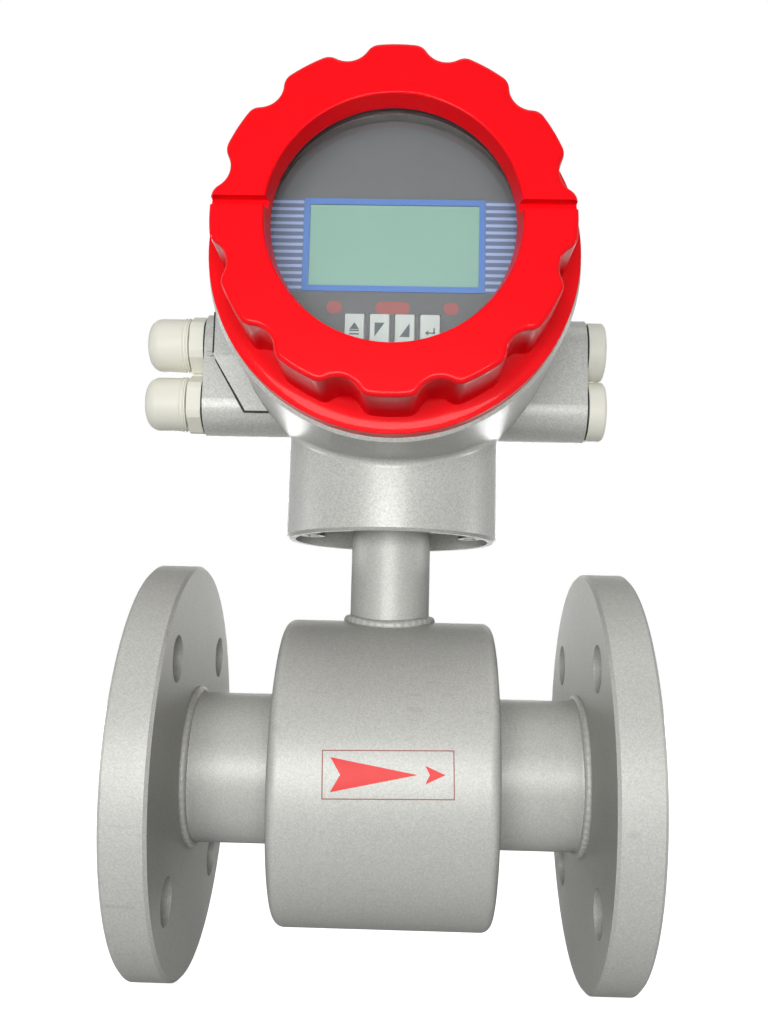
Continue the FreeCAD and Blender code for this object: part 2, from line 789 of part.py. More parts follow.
def build_casting():
    """Head casting: a drum with two threaded spigots, a cup below and bosses each side."""
    front, rear = "drum_front_reach", "drum_rear_reach"
    spigot, radius = SPIGOT, DRUM
    drum = turned(
        "casting_drum",
        [
            (f"-({rear} + spigot_length)", "0"),
            (f"-({rear} + spigot_length)", spigot),
            (f"-{rear}", spigot),
            (f"-{rear}", f"{radius} - drum_edge"),
            (f"-{rear} + drum_edge", radius),
            (f"{front} - drum_edge", radius),
            (front, f"{radius} - drum_edge"),
            (front, spigot),
            (f"{front} + spigot_length", spigot),
            (f"{front} + spigot_length", "0"),
        ],
        "front",
        z=AXIS,
    )
    cup = turned(
        "casting_cup",
        [
            (CUP_BOTTOM, "0"),
            (CUP_BOTTOM, "cup_diameter / 2 - cup_edge"),
            (f"{CUP_BOTTOM} + cup_edge", "cup_diameter / 2"),
            (AXIS, "cup_diameter / 2"),
            (AXIS, "0"),
        ],
        "up",
    )
    stem = fuse("casting_stem", [drum, cup])
    doc.recompute()
    rounded = doc.addObject("Part::Fillet", "casting_rounded")
    rounded.Base = stem
    size = number("crease_radius")
    rounded.Edges = [(index, size, size) for index in crease_edges(stem.Shape)]
    boss = build_boss("casting_boss")
    envelope = fuse("casting_envelope", [rounded, boss])
    front_room = turned(
        "casting_front_room",
        [
            (PARTITION_FRONT, "0"),
            (PARTITION_FRONT, DRUM_IN),
            (f"{front} - end_wall", DRUM_IN),
            (f"{front} - end_wall", OPENING),
            (f"{front} + spigot_length", OPENING),
            (f"{front} + spigot_length", "0"),
        ],
        "front",
        z=AXIS,
    )
    rear_room = turned(
        "casting_rear_room",
        [
            (f"-{PARTITION_REAR}", "0"),
            (f"-{PARTITION_REAR}", DRUM_IN),
            (f"{rear} - end_wall", DRUM_IN),
            (f"{rear} - end_wall", OPENING),
            (f"{rear} + spigot_length", OPENING),
            (f"{rear} + spigot_length", "0"),
        ],
        "rear",
        z=AXIS,
    )
    cup_in = f"2 * {CUP_IN}"
    recess = rod("casting_recess", cup_in, "cup_recess", "up", z=CUP_BOTTOM)
    floor_top = f"({CUP_CEILING} + cup_floor)"
    room_height = f"{AXIS} - {DRUM_IN} - {floor_top} + cup_wall * 3"
    cup_room = rod("casting_cup_bore", cup_in, room_height, "up", z=floor_top)
    partition = block(
        "casting_partition_block", f"2 * {DRUM}", "partition_wall", AXIS,
        y=f"-({PARTITION_REAR} + partition_wall / 2)",
    )
    cup_rooms = cut("casting_cup_rooms", cup_room, [partition])
    wire_hole = rod("casting_wire_hole", "wire_hole_diameter", "cup_recess + cup_floor", "up",
                    z=CUP_BOTTOM)
    entries = []
    for name, height in entry_heights():
        for way in ("left", "right"):
            sign = "-" if way == "left" else ""
            inner = f"{DRUM} * cos(45)"
            entries.append(
                rod(f"casting_{name}_{way}_entry", "entry_thread_diameter",
                    f"{BOSS_REACH} - {inner}", way, x=f"{sign}{inner}", z=height)
            )
    hollow = cut(
        "casting_hollow", envelope,
        [front_room, rear_room, recess, cup_rooms, wire_hole] + entries,
    )
    pads = []
    drills = []
    for index, (x, y) in enumerate(neck_bolt_places(), start=1):
        pads.append(rod(f"casting_pad_{index}", "neck_bolt_head_diameter",
                        "cup_floor + neck_bolt_diameter", "up", x, y, CUP_CEILING))
        drills.append(rod(f"casting_pad_drill_{index}", "neck_bolt_diameter + thread_clearance",
                          "cup_floor + neck_bolt_diameter", "up", x, y, CUP_CEILING))
    padded = fuse("casting_padded", [hollow] + pads)
    node(cut("casting_finished", padded, drills), "converter_housing")


def crease_edges(shape):
    """Numbers of the edges where the cup's side meets the drum."""
    cup, drum, axis = number("cup_diameter / 2"), number(DRUM), number(AXIS)
    found = []
    for index, edge in enumerate(shape.Edges, start=1):
        spots = edge.discretize(5)
        on_cup = all(abs(math.hypot(spot.x, spot.y) - cup) < 1e-3 for spot in spots)
        on_drum = all(abs(math.hypot(spot.x, spot.z - axis) - drum) < 1e-3 for spot in spots)
        if on_cup and on_drum:
            found.append(index)
    return found


def build_boss(name):
    """Slot-shaped bar across the head that ends in the two cable-entry bosses."""
    body = doc.addObject("PartDesign::Body", name)
    half = f"{BOSS_WIDTH} / 2"
    rise = f"{ENTRY_PITCH} / 2"
    sketch = outline(
        body,
        name + "_profile",
        [
            (f"-{half}", f"-{rise}", ("0", f"-{rise}")),
            (half, f"-{rise}"),
            (half, rise, ("0", rise)),
            (f"-{half}", rise),
        ],
        "YZ_Plane",
    )
    pad = body.newObject("PartDesign::Pad", name + "_bar")
    pad.Profile = sketch
    pad.Midplane = True
    bind(pad, Length=f"2 * {BOSS_REACH}")
    place(body, TURN["right"], z=ENTRY)
    doc.recompute()
    return body


# ---------------------------------------------------------------- covers


def build_cover(label, direction, depth, seat, windowed):
    """Lobed screw cover: base ring, flare, lobes and either a window or a plain face."""
    body = doc.addObject("PartDesign::Body", label + "_body")
    lobes_start = "cover_ring_height / 2"
    disc = body.newObject("Sketcher::SketchObject", label + "_disc")
    disc.AttachmentSupport = [(body_plane(body, "YZ_Plane"), "")]
    disc.MapMode = "FlatFace"
    bind(disc, **{"AttachmentOffset.Base.z": lobes_start})
    disc.addGeometry(Part.Circle(Vector(0, 0, 0), Vector(0, 0, 1), number(LOBE)), False)
    disc.addConstraint(Sketcher.Constraint("Coincident", 0, 3, -1, 1))
    size = disc.addConstraint(Sketcher.Constraint("Radius", 0, number(LOBE)))
    disc.setExpression(f"Constraints[{size}]", sized(LOBE))
    pad = body.newObject("PartDesign::Pad", label + "_pad")
    pad.Profile = disc
    bind(pad, Length=f"{depth} - {lobes_start}")
    doc.recompute()
    scallop = outline(body, label + "_scallop", scallop_corners(), "YZ_Plane")
    scallop.AttachmentOffset = Placement(Vector(), Rotation(Vector(0, 0, 1), 1))
    bind(scallop, **{"AttachmentOffset.Rotation.Angle": "180 / lobe_count"})
    pocket = body.newObject("PartDesign::Pocket", label + "_scallop_cut")
    pocket.Profile = scallop
    pocket.Type = "ThroughAll"
    pocket.Reversed = True
    doc.recompute()
    pattern = body.newObject("PartDesign::PolarPattern", label + "_scallops")
    pattern.Originals = [pocket]
    pattern.Axis = (scallop, ["N_Axis"])
    pattern.Angle = 360
    bind(pattern, Occurrences="lobe_count")
    body.Tip = pattern
    doc.recompute()
    flare_end = "cover_ring_height + flare_radius"
    base = outline(
        body,
        label + "_base",
        [
            ("0", OPENING),
            (flare_end, OPENING),
            (flare_end, FLARE_CORE, (flare_end, FLARE), True),
            ("cover_ring_height", FLARE),
            ("cover_ring_height", f"{RING} - cover_gap"),
            ("cover_ring_height - cover_gap", RING),
            ("cover_gap", RING),
            ("0", f"{RING} - cover_gap"),
        ],
    )
    turn = body.newObject("PartDesign::Revolution", label + "_base_turn")
    turn.Profile = base
    turn.ReferenceAxis = (base, ["H_Axis"])
    turn.Angle = 360
    doc.recompute()
    cavity = outline(body, label + "_cavity", cavity_corners(depth, windowed))
    groove = body.newObject("PartDesign::Groove", label + "_cavity_cut")
    groove.Profile = cavity
    groove.ReferenceAxis = (cavity, ["H_Axis"])
    groove.Angle = 360
    doc.recompute()
    soften_face(body, label, depth)
    if windowed:
        soften(body, label + "_window_edge", "cover_face_edge / 2",
               [(depth, WINDOW)])
        cut_slots(body, label, depth)
    sign = "-" if direction == "front" else ""
    place(body, TURN[direction], y=f"{sign}({seat} + cover_gap)", z=AXIS)
    node(body, label)


def scallop_corners():
    """One scallop: a hollow arc between two arcs that round the lobes' shoulders."""
    tip = LOBE
    middle = f"({SCALLOP} + scallop_radius)"
    inner = f"({tip} - lobe_rounding)"
    reach = "(scallop_radius + lobe_rounding)"
    # the shoulder arc's centre lies inner from the axis and reach from the scallop's centre
    rise = f"(({inner} * {inner} + {middle} * {middle} - {reach} * {reach}) / (2 * {middle}))"
    side = f"sqrt({inner} * {inner} - {rise} * {rise})"
    tip_u = f"{side} * {tip} / {inner}"
    tip_v = f"{rise} * {tip} / {inner}"
    blend_u = f"{side} * scallop_radius / {reach}"
    blend_v = f"({middle} - ({middle} - {rise}) * scallop_radius / {reach})"
    outside = f"{tip} * 1.2"
    return [
        (f"-{tip_u}", tip_v, (f"-{side}", rise), True),
        (f"-{blend_u}", blend_v, ("0", middle)),
        (blend_u, blend_v, (side, rise), True),
        (tip_u, tip_v),
        (tip_u, outside),
        (f"-{tip_u}", outside),
    ]


def cavity_corners(depth, windowed):
    """Inside of a cover: thread bore, then the glass seat and window or a plain recess."""
    thread_end = "(spigot_length + cover_gap * 2)"
    seat = f"{GLASS} + thread_clearance"
    groove_end = "ring_cord_diameter + cover_gap"
    groove = f"{THREAD} + ring_cord_diameter + cover_gap"
    mouth = [
        (thread_end, THREAD),
        (groove_end, THREAD),
        (groove_end, groove),
        ("0", groove),
    ]
    if windowed:
        lip = f"{depth} - window_lip"
        return [
            ("0", "0"),
            (depth, "0"),
            (depth, WINDOW),
            (lip, f"{WINDOW} - window_taper"),
            (lip, seat),
            (thread_end, seat),
        ] + mouth
    floor = f"{depth} - cover_wall"
    return [
        ("0", "0"),
        (floor, "0"),
        (floor, seat),
        (thread_end, seat),
    ] + mouth


def soften_face(body, label, depth):
    """Round the outer edge of the lobed face."""
    base = body.Tip
    face_at = number(depth)
    limit = number(OPENING)
    edges = []
    for index, edge in enumerate(base.Shape.Edges, start=1):
        box = edge.BoundBox
        on_face = abs(box.XMin - face_at) < 1e-4 and abs(box.XMax - face_at) < 1e-4
        spot = edge.CenterOfMass
        if on_face and math.hypot(spot.y, spot.z) > limit:
            edges.append(f"Edge{index}")
    feature = body.newObject("PartDesign::Fillet", label + "_face_edge")
    feature.Base = (base, edges)
    bind(feature, Radius="cover_face_edge")
    doc.recompute()


def cut_slots(body, label, depth):
    """Bar-spanner slot milled straight across the cover's face."""
    low = "slot_offset - slot_width / 2"
    high = "slot_offset + slot_width / 2"
    sketch = outline(
        body, label + "_slot",
        [
            (f"{depth} - slot_depth", low),
            (f"{depth} + slot_depth", low),
            (f"{depth} + slot_depth", high),
            (f"{depth} - slot_depth", high),
        ],
    )
    pocket = body.newObject("PartDesign::Pocket", label + "_slot_cut")
    pocket.Profile = sketch
    pocket.Midplane = True
    bind(pocket, Length=f"{RING} * 2")
    doc.recompute()


def build_glazing():
    """Glass pane of the front cover with its gasket and screwed retaining ring."""
    front = f"(drum_front_reach + cover_gap + {FRONT_DEPTH} - window_lip)"
    glass_front = f"({front} - glass_gasket_thickness)"
    glass_back = f"({glass_front} - glass_thickness)"
    radius = GLASS
    gasket = turned(
        "gasket_ring",
        [
            (glass_front, WINDOW),
            (front, WINDOW),
            (front, radius),
            (glass_front, radius),
        ],
        "front", z=AXIS,
    )
    node(gasket, "glass_gasket")
    pane = turned(
        "glass_pane",
        [(glass_back, "0"), (glass_front, "0"), (glass_front, radius), (glass_back, radius)],
        "front", z=AXIS,
    )
    node(pane, "window_glass")
    ring_back = f"({glass_back} - retainer_thickness)"
    ring = turned(
        "retainer_ring",
        [
            (ring_back, f"{radius} - retainer_width"),
            (glass_back, f"{radius} - retainer_width"),
            (glass_back, radius),
            (ring_back, radius),
        ],
        "front", z=AXIS,
    )
    node(ring, "glass_retainer")


def build_seal_ring(label, reach, sign):
    """Round-section sealing ring in the seat at a cover's mouth."""
    ring = doc.addObject("Part::Torus", label + "_ring")
    bind(
        ring,
        Radius1=f"{THREAD} + ring_cord_diameter / 2",
        Radius2="ring_cord_diameter / 2",
    )
    along = TURN["rear"].multVec(Vector(1, 0, 0))
    place(ring, Rotation(Vector(0, 0, 1), along),
          y=f"{sign}({reach} + cover_gap * 1.5 + ring_cord_diameter / 2)", z=AXIS)
    node(ring, label)


# ---------------------------------------------------------------- display and electronics


def build_panel():
    """Display panel with its screen window and key holes, screen frame and screen."""
    place_y = f"-{PANEL_PLACE}"
    disc = rod("panel_disc", f"2 * {PANEL}", "panel_thickness", "rear", y=place_y, z=AXIS)
    screen_hole = front_box("panel_screen_hole", "screen_width", "screen_height",
                            "panel_thickness", place_y, AXIS)
    key_holes = [
        front_box(f"panel_key_hole_{index}", "key_width + 2 * key_clearance",
                  "key_height + 2 * key_clearance", "panel_thickness", place_y,
                  KEY_AXIS, x)
        for index, x in enumerate(key_places(), start=1)
    ]
    node(cut("panel_cut", disc, [screen_hole] + key_holes), "display_panel")
    plate = front_box("frame_plate", "screen_width + 2 * frame_border",
                      "screen_height + 2 * frame_border", "frame_thickness",
                      f"{place_y} - frame_thickness", AXIS)
    hole = front_box("frame_hole", "screen_width", "screen_height", "frame_thickness",
                     f"{place_y} - frame_thickness", AXIS)
    node(cut("frame_cut", plate, [hole]), "screen_frame")
    screen = front_box("screen_block", "screen_width", "screen_height", "screen_thickness",
                       f"{place_y} + frame_thickness / 2", AXIS)
    node(screen, "display_screen")


def key_places():
    return [f"{KEY_PITCH} * {step}" for step in ("(-1.5)", "(-0.5)", "0.5", "1.5")]


def front_box(name, width, height, depth, y, z, x="0"):
    """A box seen from the front: centred on x and z, running back from y."""
    box = doc.addObject("Part::Box", name)
    bind(box, Length=width, Width=depth, Height=height)
    return place(box, Rotation(), f"{x} - ({width}) / 2", y, f"{z} - ({height}) / 2")


def build_keys():
    """Four push keys: a cap through the panel with a rim that stops behind it."""
    for label, x in zip(("menu_key", "up_key", "down_key", "enter_key"), key_places()):
        cap = front_box(label + "_cap", "key_width", "key_height",
                        "key_proud + panel_thickness + key_rim_thickness",
                        f"-{PANEL_PLACE} - key_proud", KEY_AXIS, x)
        rim = front_box(label + "_rim", "key_width + 2 * key_rim", "key_height + 2 * key_rim",
                        "key_rim_thickness", f"-{PANEL_PLACE} + panel_thickness",
                        KEY_AXIS, x)
        node(fuse(label + "_body", [cap, rim]), label)


def build_boards():
    """Display board and main board on three posts that stand on the partition."""
    front_face = f"(-{PANEL_PLACE} + panel_thickness + display_board_gap)"
    board = rod("display_board_disc", f"2 * {BOARD}", "board_thickness", "rear",
                y=front_face, z=AXIS)
    bezel = front_box("display_bezel", "screen_width + frame_border", "screen_height + frame_border",
                      f"{front_face} + {PANEL_PLACE} - frame_thickness / 2 - screen_thickness",
                      f"-{PANEL_PLACE} + frame_thickness / 2 + screen_thickness", AXIS)
    switches = [
        front_box(f"display_switch_{index}", "key_width - key_rim", "key_width - key_rim",
                  "display_board_gap - key_rim_thickness - key_travel - key_clearance",
                  f"{front_face} - display_board_gap + key_rim_thickness + key_travel"
                  " + key_clearance",
                  KEY_AXIS, x)
        for index, x in enumerate(key_places(), start=1)
    ]
    node(fuse("display_board_parts", [board, bezel] + switches), "display_board")
    main_face = f"({front_face} + board_thickness + main_board_gap)"
    main = rod("main_board_disc", f"2 * {BOARD}", "board_thickness", "rear",
               y=main_face, z=AXIS)
    back = f"{main_face} + board_thickness"
    high, low, left = f"{AXIS} + part_rise", f"{AXIS} - part_rise", f"(-{PART_REACH})"
    transformer = front_box("main_transformer", "transformer_width", "transformer_height",
                            "transformer_depth", back, high, left)
    capacitor = rod("main_capacitor", "capacitor_diameter", "capacitor_length", "rear",
                    PART_REACH, back, high)
    relay = front_box("main_relay", "relay_width", "relay_height", "relay_depth", back, low,
                      PART_REACH)
    connector = front_box("main_connector", "connector_width", "connector_height",
                          "connector_depth", back, low, left)
    node(
        fuse("main_board_parts", [main, transformer, capacitor, relay, connector]),
        "main_board",
    )
    panel_posts = []
    front_posts = []
    rear_posts = []
    for index, angle in enumerate((90, 225, 315), start=1):
        panel_posts.append(
            rod(f"panel_post_{index}", "post_diameter", "display_board_gap", "front",
                f"{POST} * cos({angle})", front_face, f"{AXIS} + {POST} * sin({angle})")
        )
    for index, angle in enumerate((30, 150, 270), start=1):
        x = f"{POST} * cos({angle})"
        z = f"{AXIS} + {POST} * sin({angle})"
        front_posts.append(
            rod(f"front_post_{index}", "post_diameter", "main_board_gap", "rear", x,
                f"{front_face} + board_thickness", z)
        )
        rear_posts.append(
            rod(f"rear_post_{index}", "post_diameter",
                f"-{PARTITION_FRONT} - ({back})", "rear", x, back, z)
        )
    node(group("panel_post_set", panel_posts), "panel_posts")
    node(group("front_post_set", front_posts), "display_board_posts")
    node(group("rear_post_set", rear_posts), "main_board_posts")


def build_terminals():
    """Terminal strip on the rear of the partition, with its clamp screws."""
    rise = f"{AXIS} + terminal_rise"
    strip = front_box("terminal_strip", "terminal_width", "terminal_height", "terminal_depth",
                      f"-{PARTITION_REAR}", rise)
    pitch = "(terminal_width / terminal_count)"
    wells = []
    screws = []
    for step in range(int(number("terminal_count"))):
        x = f"({step} + 0.5) * {pitch} - terminal_width / 2"
        well_floor = f"(terminal_depth * 0.6 - {PARTITION_REAR})"
        well_mouth = f"(terminal_depth - {PARTITION_REAR})"
        wells.append(
            rod(f"terminal_well_{step + 1}", f"{pitch} * 0.7", f"{well_mouth} - {well_floor}",
                "rear", x, well_floor, rise)
        )
        wells.append(
            front_box(f"terminal_mouth_{step + 1}", f"{pitch} * 0.6", "terminal_height / 4",
                      "terminal_depth * 0.6", f"-{PARTITION_REAR} + terminal_depth * 0.2",
                      f"{rise} - terminal_height / 2", x)
        )
        head = rod(f"terminal_screw_head_{step + 1}", f"{pitch} * 0.6", f"{pitch} * 0.25",
                   "rear", x, well_floor, rise)
        drive = front_box(f"terminal_screw_slot_{step + 1}", f"{pitch} * 0.6", f"{pitch} * 0.1",
                          f"{pitch} * 0.25", f"{well_floor} + {pitch} * 0.12", rise, x)
        screws.append(cut(f"terminal_screw_{step + 1}", head, [drive]))
    node(cut("terminal_strip_cut", strip, wells), "terminal_strip")
    node(group("terminal_screw_set", screws), "terminal_screws")


# ---------------------------------------------------------------- glands and plugs


def build_gland(name, height):
    """Cable gland on the left: seal, hexagon body, rubber insert and domed nut."""
    face = BOSS_REACH
    hex_start = f"({face} + gland_seal_thickness)"
    hex_end = f"({hex_start} + gland_hex_length)"
    thread = "entry_thread_diameter / 2 - thread_clearance"
    hole = "cable_diameter / 2 + stem_bore_margin"
    seal = turned(
        name + "_seal",
        [
            (face, "entry_thread_diameter / 2"),
            (hex_start, "entry_thread_diameter / 2"),
            (hex_start, SEAL),
            (face, SEAL),
        ],
        "left", z=height,
    )
    node(seal, name + "_gland_washer")
    stem_end = f"({hex_end} + gland_stem_length)"
    barrel = turned(
        name + "_barrel",
        [
            (f"{face} - gland_shank_length", hole),
            (stem_end, hole),
            (stem_end, "gland_stem_diameter / 2"),
            (hex_start, "gland_stem_diameter / 2"),
            (hex_start, thread),
            (f"{face} - gland_shank_length", thread),
        ],
        "left", z=height,
    )
    collar = hexagon(name + "_collar", GLAND_HEX, "gland_hex_length", "left",
                     x=f"-{hex_start}", z=height)
    collar_round = rod(name + "_collar_round", f"{GLAND_HEX} * 1.08", "gland_hex_length",
                       "left", x=f"-{hex_start}", z=height)
    collar_common = doc.addObject("Part::Common", name + "_collar_common")
    collar_common.Base = collar
    collar_common.Tool = collar_round
    collar_bore = rod(name + "_collar_bore", f"2 * ({hole})", "gland_hex_length",
                      "left", x=f"-{hex_start}", z=height)
    ring = cut(name + "_collar_ring", collar_common, [collar_bore])
    node(fuse(name + "_body", [barrel, ring]), name + "_gland_body")
    nut_start = f"({hex_end} + gland_nut_gap)"
    nut_end = f"({nut_start} + gland_nut_length)"
    bore = "gland_stem_diameter / 2 + thread_clearance"
    inside_end = f"({nut_end} - {GLAND_DOME} * 0.6)"
    nut = turned(
        name + "_nut",
        [
            (nut_start, bore),
            (inside_end, bore),
            (f"{nut_end} - {GLAND_DOME} * 0.2", GLAND_MOUTH),
            (nut_end, GLAND_MOUTH),
            (nut_end, f"{GLAND_NUT} - {GLAND_DOME}",
             (f"{nut_end} - {GLAND_DOME}", f"{GLAND_NUT} - {GLAND_DOME}"), False),
            (f"{nut_end} - {GLAND_DOME}", GLAND_NUT),
            (nut_start, GLAND_NUT),
        ],
        "left", z=height,
    )
    node(nut, name + "_gland_nut")
    insert_start = f"({stem_end} + thread_clearance)"
    insert_end = f"({nut_end} - {GLAND_DOME} * 0.25)"
    insert = turned(
        name + "_insert",
        [
            (insert_start, "cable_diameter / 2"),
            (insert_end, "cable_diameter / 2"),
            (insert_end, f"{GLAND_MOUTH} - thread_clearance"),
            (insert_start, f"{GLAND_MOUTH} - thread_clearance"),
        ],
        "left", z=height,
    )
    node(insert, name + "_gland_insert")


def build_plug(name, height):
    """Blanking plug on the right, with its rubber washer."""
    face = BOSS_REACH
    head_start = f"({face} + gland_seal_thickness)"
    head_end = f"({head_start} + plug_head_height)"
    washer = turned(
        name + "_washer",
        [
            (face, "entry_thread_diameter / 2"),
            (head_start, "entry_thread_diameter / 2"),
            (head_start, SEAL),
            (face, SEAL),
        ],
        "right", z=height,
    )
    node(washer, name + "_plug_washer")
    thread = "entry_thread_diameter / 2 - thread_clearance"
    radius = "fitting_diameter / 2"
    plug = turned(
        name + "_plug_turned",
        [
            (f"{face} - plug_shank_length", "0"),
            (f"{face} - plug_shank_length", thread),
            (head_start, thread),
            (head_start, radius),
            (f"{head_end} - plug_edge", radius,
             (f"{head_end} - plug_edge", f"{radius} - plug_edge"), True),
            (head_end, f"{radius} - plug_edge"),
            (head_end, "0"),
        ],
        "right", z=height,
    )
    node(plug, name + "_plug")


# ---------------------------------------------------------------- plate on the left boss


def build_plate():
    """Bevelled plate on the left boss's front face, its gasket, and the earth screw."""
    plate = bevelled_plate("plate_body", "0", "plate_gap", "plate_depth")
    wide = f"2 * {DRUM} + thread_clearance"
    long = "drum_front_reach + drum_rear_reach"
    drum = rod("plate_drum", wide, long, "front", y="drum_rear_reach", z=AXIS)
    node(cut("plate_cut", plate, [drum]), "side_plate")
    pad = bevelled_plate("plate_pad", "plate_gap", "0", "plate_gap")
    drum_again = rod("plate_pad_drum", wide, long, "front", y="drum_rear_reach", z=AXIS)
    node(cut("plate_pad_cut", pad, [drum_again]), "side_plate_gasket")
    face = f"-{BOSS_WIDTH} / 2"
    x = f"(plate_inset / 2 - {BOSS_REACH})"
    z = f"{ENTRY} + plate_bend + earth_screw_diameter"
    head = rod("earth_head", "earth_screw_diameter", "earth_screw_diameter / 3", "front",
               x, face, z)
    drive = front_box("earth_drive", "earth_screw_diameter", "earth_screw_diameter / 6",
                      "earth_screw_diameter / 6", f"{face} - earth_screw_diameter / 3", z, x)
    node(cut("earth_cut", head, [drive]), "earth_screw")


def bevelled_plate(name, margin, near, far):
    """A plate cut from a wedge: upright above its bend, sloping back to the boss below."""
    face = f"{BOSS_WIDTH} / 2"
    bottom = f"-plate_bottom - {margin}"
    body = doc.addObject("PartDesign::Body", name)
    profile = [
        (f"-{face} - {near}", bottom),
        (f"-{face} - {near}", "plate_top"),
        (f"-{face} - {far}", "plate_top"),
        (f"-{face} - {far}", bottom if near == "0" else "plate_bend"),
    ]
    sketch = outline(body, name + "_profile", profile, "YZ_Plane")
    pad = body.newObject("PartDesign::Pad", name + "_bar")
    pad.Profile = sketch
    bind(pad, Length=f"{PLATE_REACH} + {margin} - {DRUM} / 2")
    doc.recompute()
    corner = outline(
        body, name + "_corner",
        [
            ("0", "plate_bend"),
            ("plate_corner", bottom),
            ("plate_corner", f"{bottom} - plate_corner"),
            ("-plate_corner", f"{bottom} - plate_corner"),
            ("-plate_corner", "plate_bend"),
        ],
    )
    pocket = body.newObject("PartDesign::Pocket", name + "_corner_cut")
    pocket.Profile = corner
    pocket.Midplane = True
    bind(pocket, Length=f"{BOSS_WIDTH} * 4")
    place(body, TURN["right"], x=f"-{PLATE_REACH} - {margin}", z=ENTRY)
    doc.recompute()
    return body


# ---------------------------------------------------------------- build and write


def build():
    build_tube()
    build_liner()
    build_flanges()
    build_housing()
    build_magnet("upper", "up")
    build_magnet("lower", "down")
    build_yoke()
    build_electrode("front", "front")
    build_electrode("rear", "rear")
    build_neck()
    build_casting()
    build_cover("front_cover", "front", FRONT_DEPTH, "drum_front_reach", True)
    build_cover("rear_cover", "rear", REAR_DEPTH, "drum_rear_reach", False)
    build_glazing()
    build_seal_ring("front_seal_ring", "drum_front_reach", "-")
    build_seal_ring("rear_seal_ring", "drum_rear_reach", "")
    build_panel()
    build_keys()
    build_boards()
    build_terminals()
    for name, height in entry_heights():
        build_gland(name, height)
        build_plug(name, height)
    build_plate()
    doc.recompute()


def check():
    """Stop unless every object is sound and every piece is a valid solid."""
    for item in doc.Objects:
        if {"Invalid", "Error"} & set(item.State):
            raise RuntimeError(f"{item.Name} failed: {item.State}")
    for label, item in nodes.items():
        shape = item.Shape
        if shape.isNull() or not shape.isValid() or not shape.Solids:
            raise RuntimeError(f"{label} has no valid solid")


def write():
    os.makedirs("parts", exist_ok=True)
    for label, item in nodes.items():
        item.Shape.exportStep(os.path.join("parts", label + ".step"))
        box = item.Shape.BoundBox
        print(
            f"{label:22s} solids {len(item.Shape.Solids):2d} volume {item.Shape.Volume:10.1f}"
            f"  x {box.XMin:7.1f} {box.XMax:7.1f}  y {box.YMin:7.1f} {box.YMax:7.1f}"
            f"  z {box.ZMin:7.1f} {box.ZMax:7.1f}"
        )


build()
check()
write()
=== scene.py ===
"""Looks of a flanged electromagnetic flow meter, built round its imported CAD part.

Lengths are written in millimetres in the part's own frame: the origin is the middle of the
flow bore, +X runs along the flow, +Y to the rear of the head and +Z up the neck.
"""

import logging
import math
from collections.abc import Sequence
from dataclasses import dataclass
from enum import Enum

import bpy
import numpy as np
from mathutils import Matrix, Vector


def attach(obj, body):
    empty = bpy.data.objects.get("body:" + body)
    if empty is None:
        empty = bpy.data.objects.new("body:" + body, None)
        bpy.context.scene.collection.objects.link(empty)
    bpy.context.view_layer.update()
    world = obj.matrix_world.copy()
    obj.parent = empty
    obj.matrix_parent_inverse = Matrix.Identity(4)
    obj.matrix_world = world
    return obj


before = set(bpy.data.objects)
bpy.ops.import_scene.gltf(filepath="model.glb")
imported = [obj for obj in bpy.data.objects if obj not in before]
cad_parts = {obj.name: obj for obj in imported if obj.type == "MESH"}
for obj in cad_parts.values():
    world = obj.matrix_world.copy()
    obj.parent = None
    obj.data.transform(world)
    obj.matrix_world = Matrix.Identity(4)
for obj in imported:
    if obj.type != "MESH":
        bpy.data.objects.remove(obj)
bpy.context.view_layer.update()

LOG = logging.getLogger("flow_meter")
MM = 0.001
METER_BODY = "meter"
# Height of the head's axis above the bore, shared by the casting and the display.
HEAD_AXIS = 189.5
Colour = tuple[float, float, float, float]
Socket = bpy.types.NodeSocket


class Side(Enum):
    """The two ends of the flow axis, by their sign along X."""

    INLET = -1
    OUTLET = 1


class Level(Enum):
    """The two cable entries of each boss."""

    UPPER = "upper"
    LOWER = "lower"


class Sign(Enum):
    """The plain symbols that stand on the four keys."""

    MENU = "menu"
    UP = "up"
    DOWN = "down"
    ENTER = "enter"


class Effect(Enum):
    """Surface effects that more than one finish uses."""

    TONE = "paint_tone"
    PEEL = "surface_peel"
    SCUFF = "handling_scuffs"


def linear(red: float, green: float, blue: float) -> Colour:
    """Turn a display colour into the linear colour that shaders take.

    Args:
        red: Red from 0 to 255.
        green: Green from 0 to 255.
        blue: Blue from 0 to 255.

    Returns:
        The linear colour with full alpha.
    """
    shown = np.array([red, green, blue]) / 255.0
    value = np.where(shown <= 0.04045, shown / 12.92, ((shown + 0.055) / 1.055) ** 2.4)
    return (*value.tolist(), 1.0)


# ------------------------------------------------------------------ surfaces


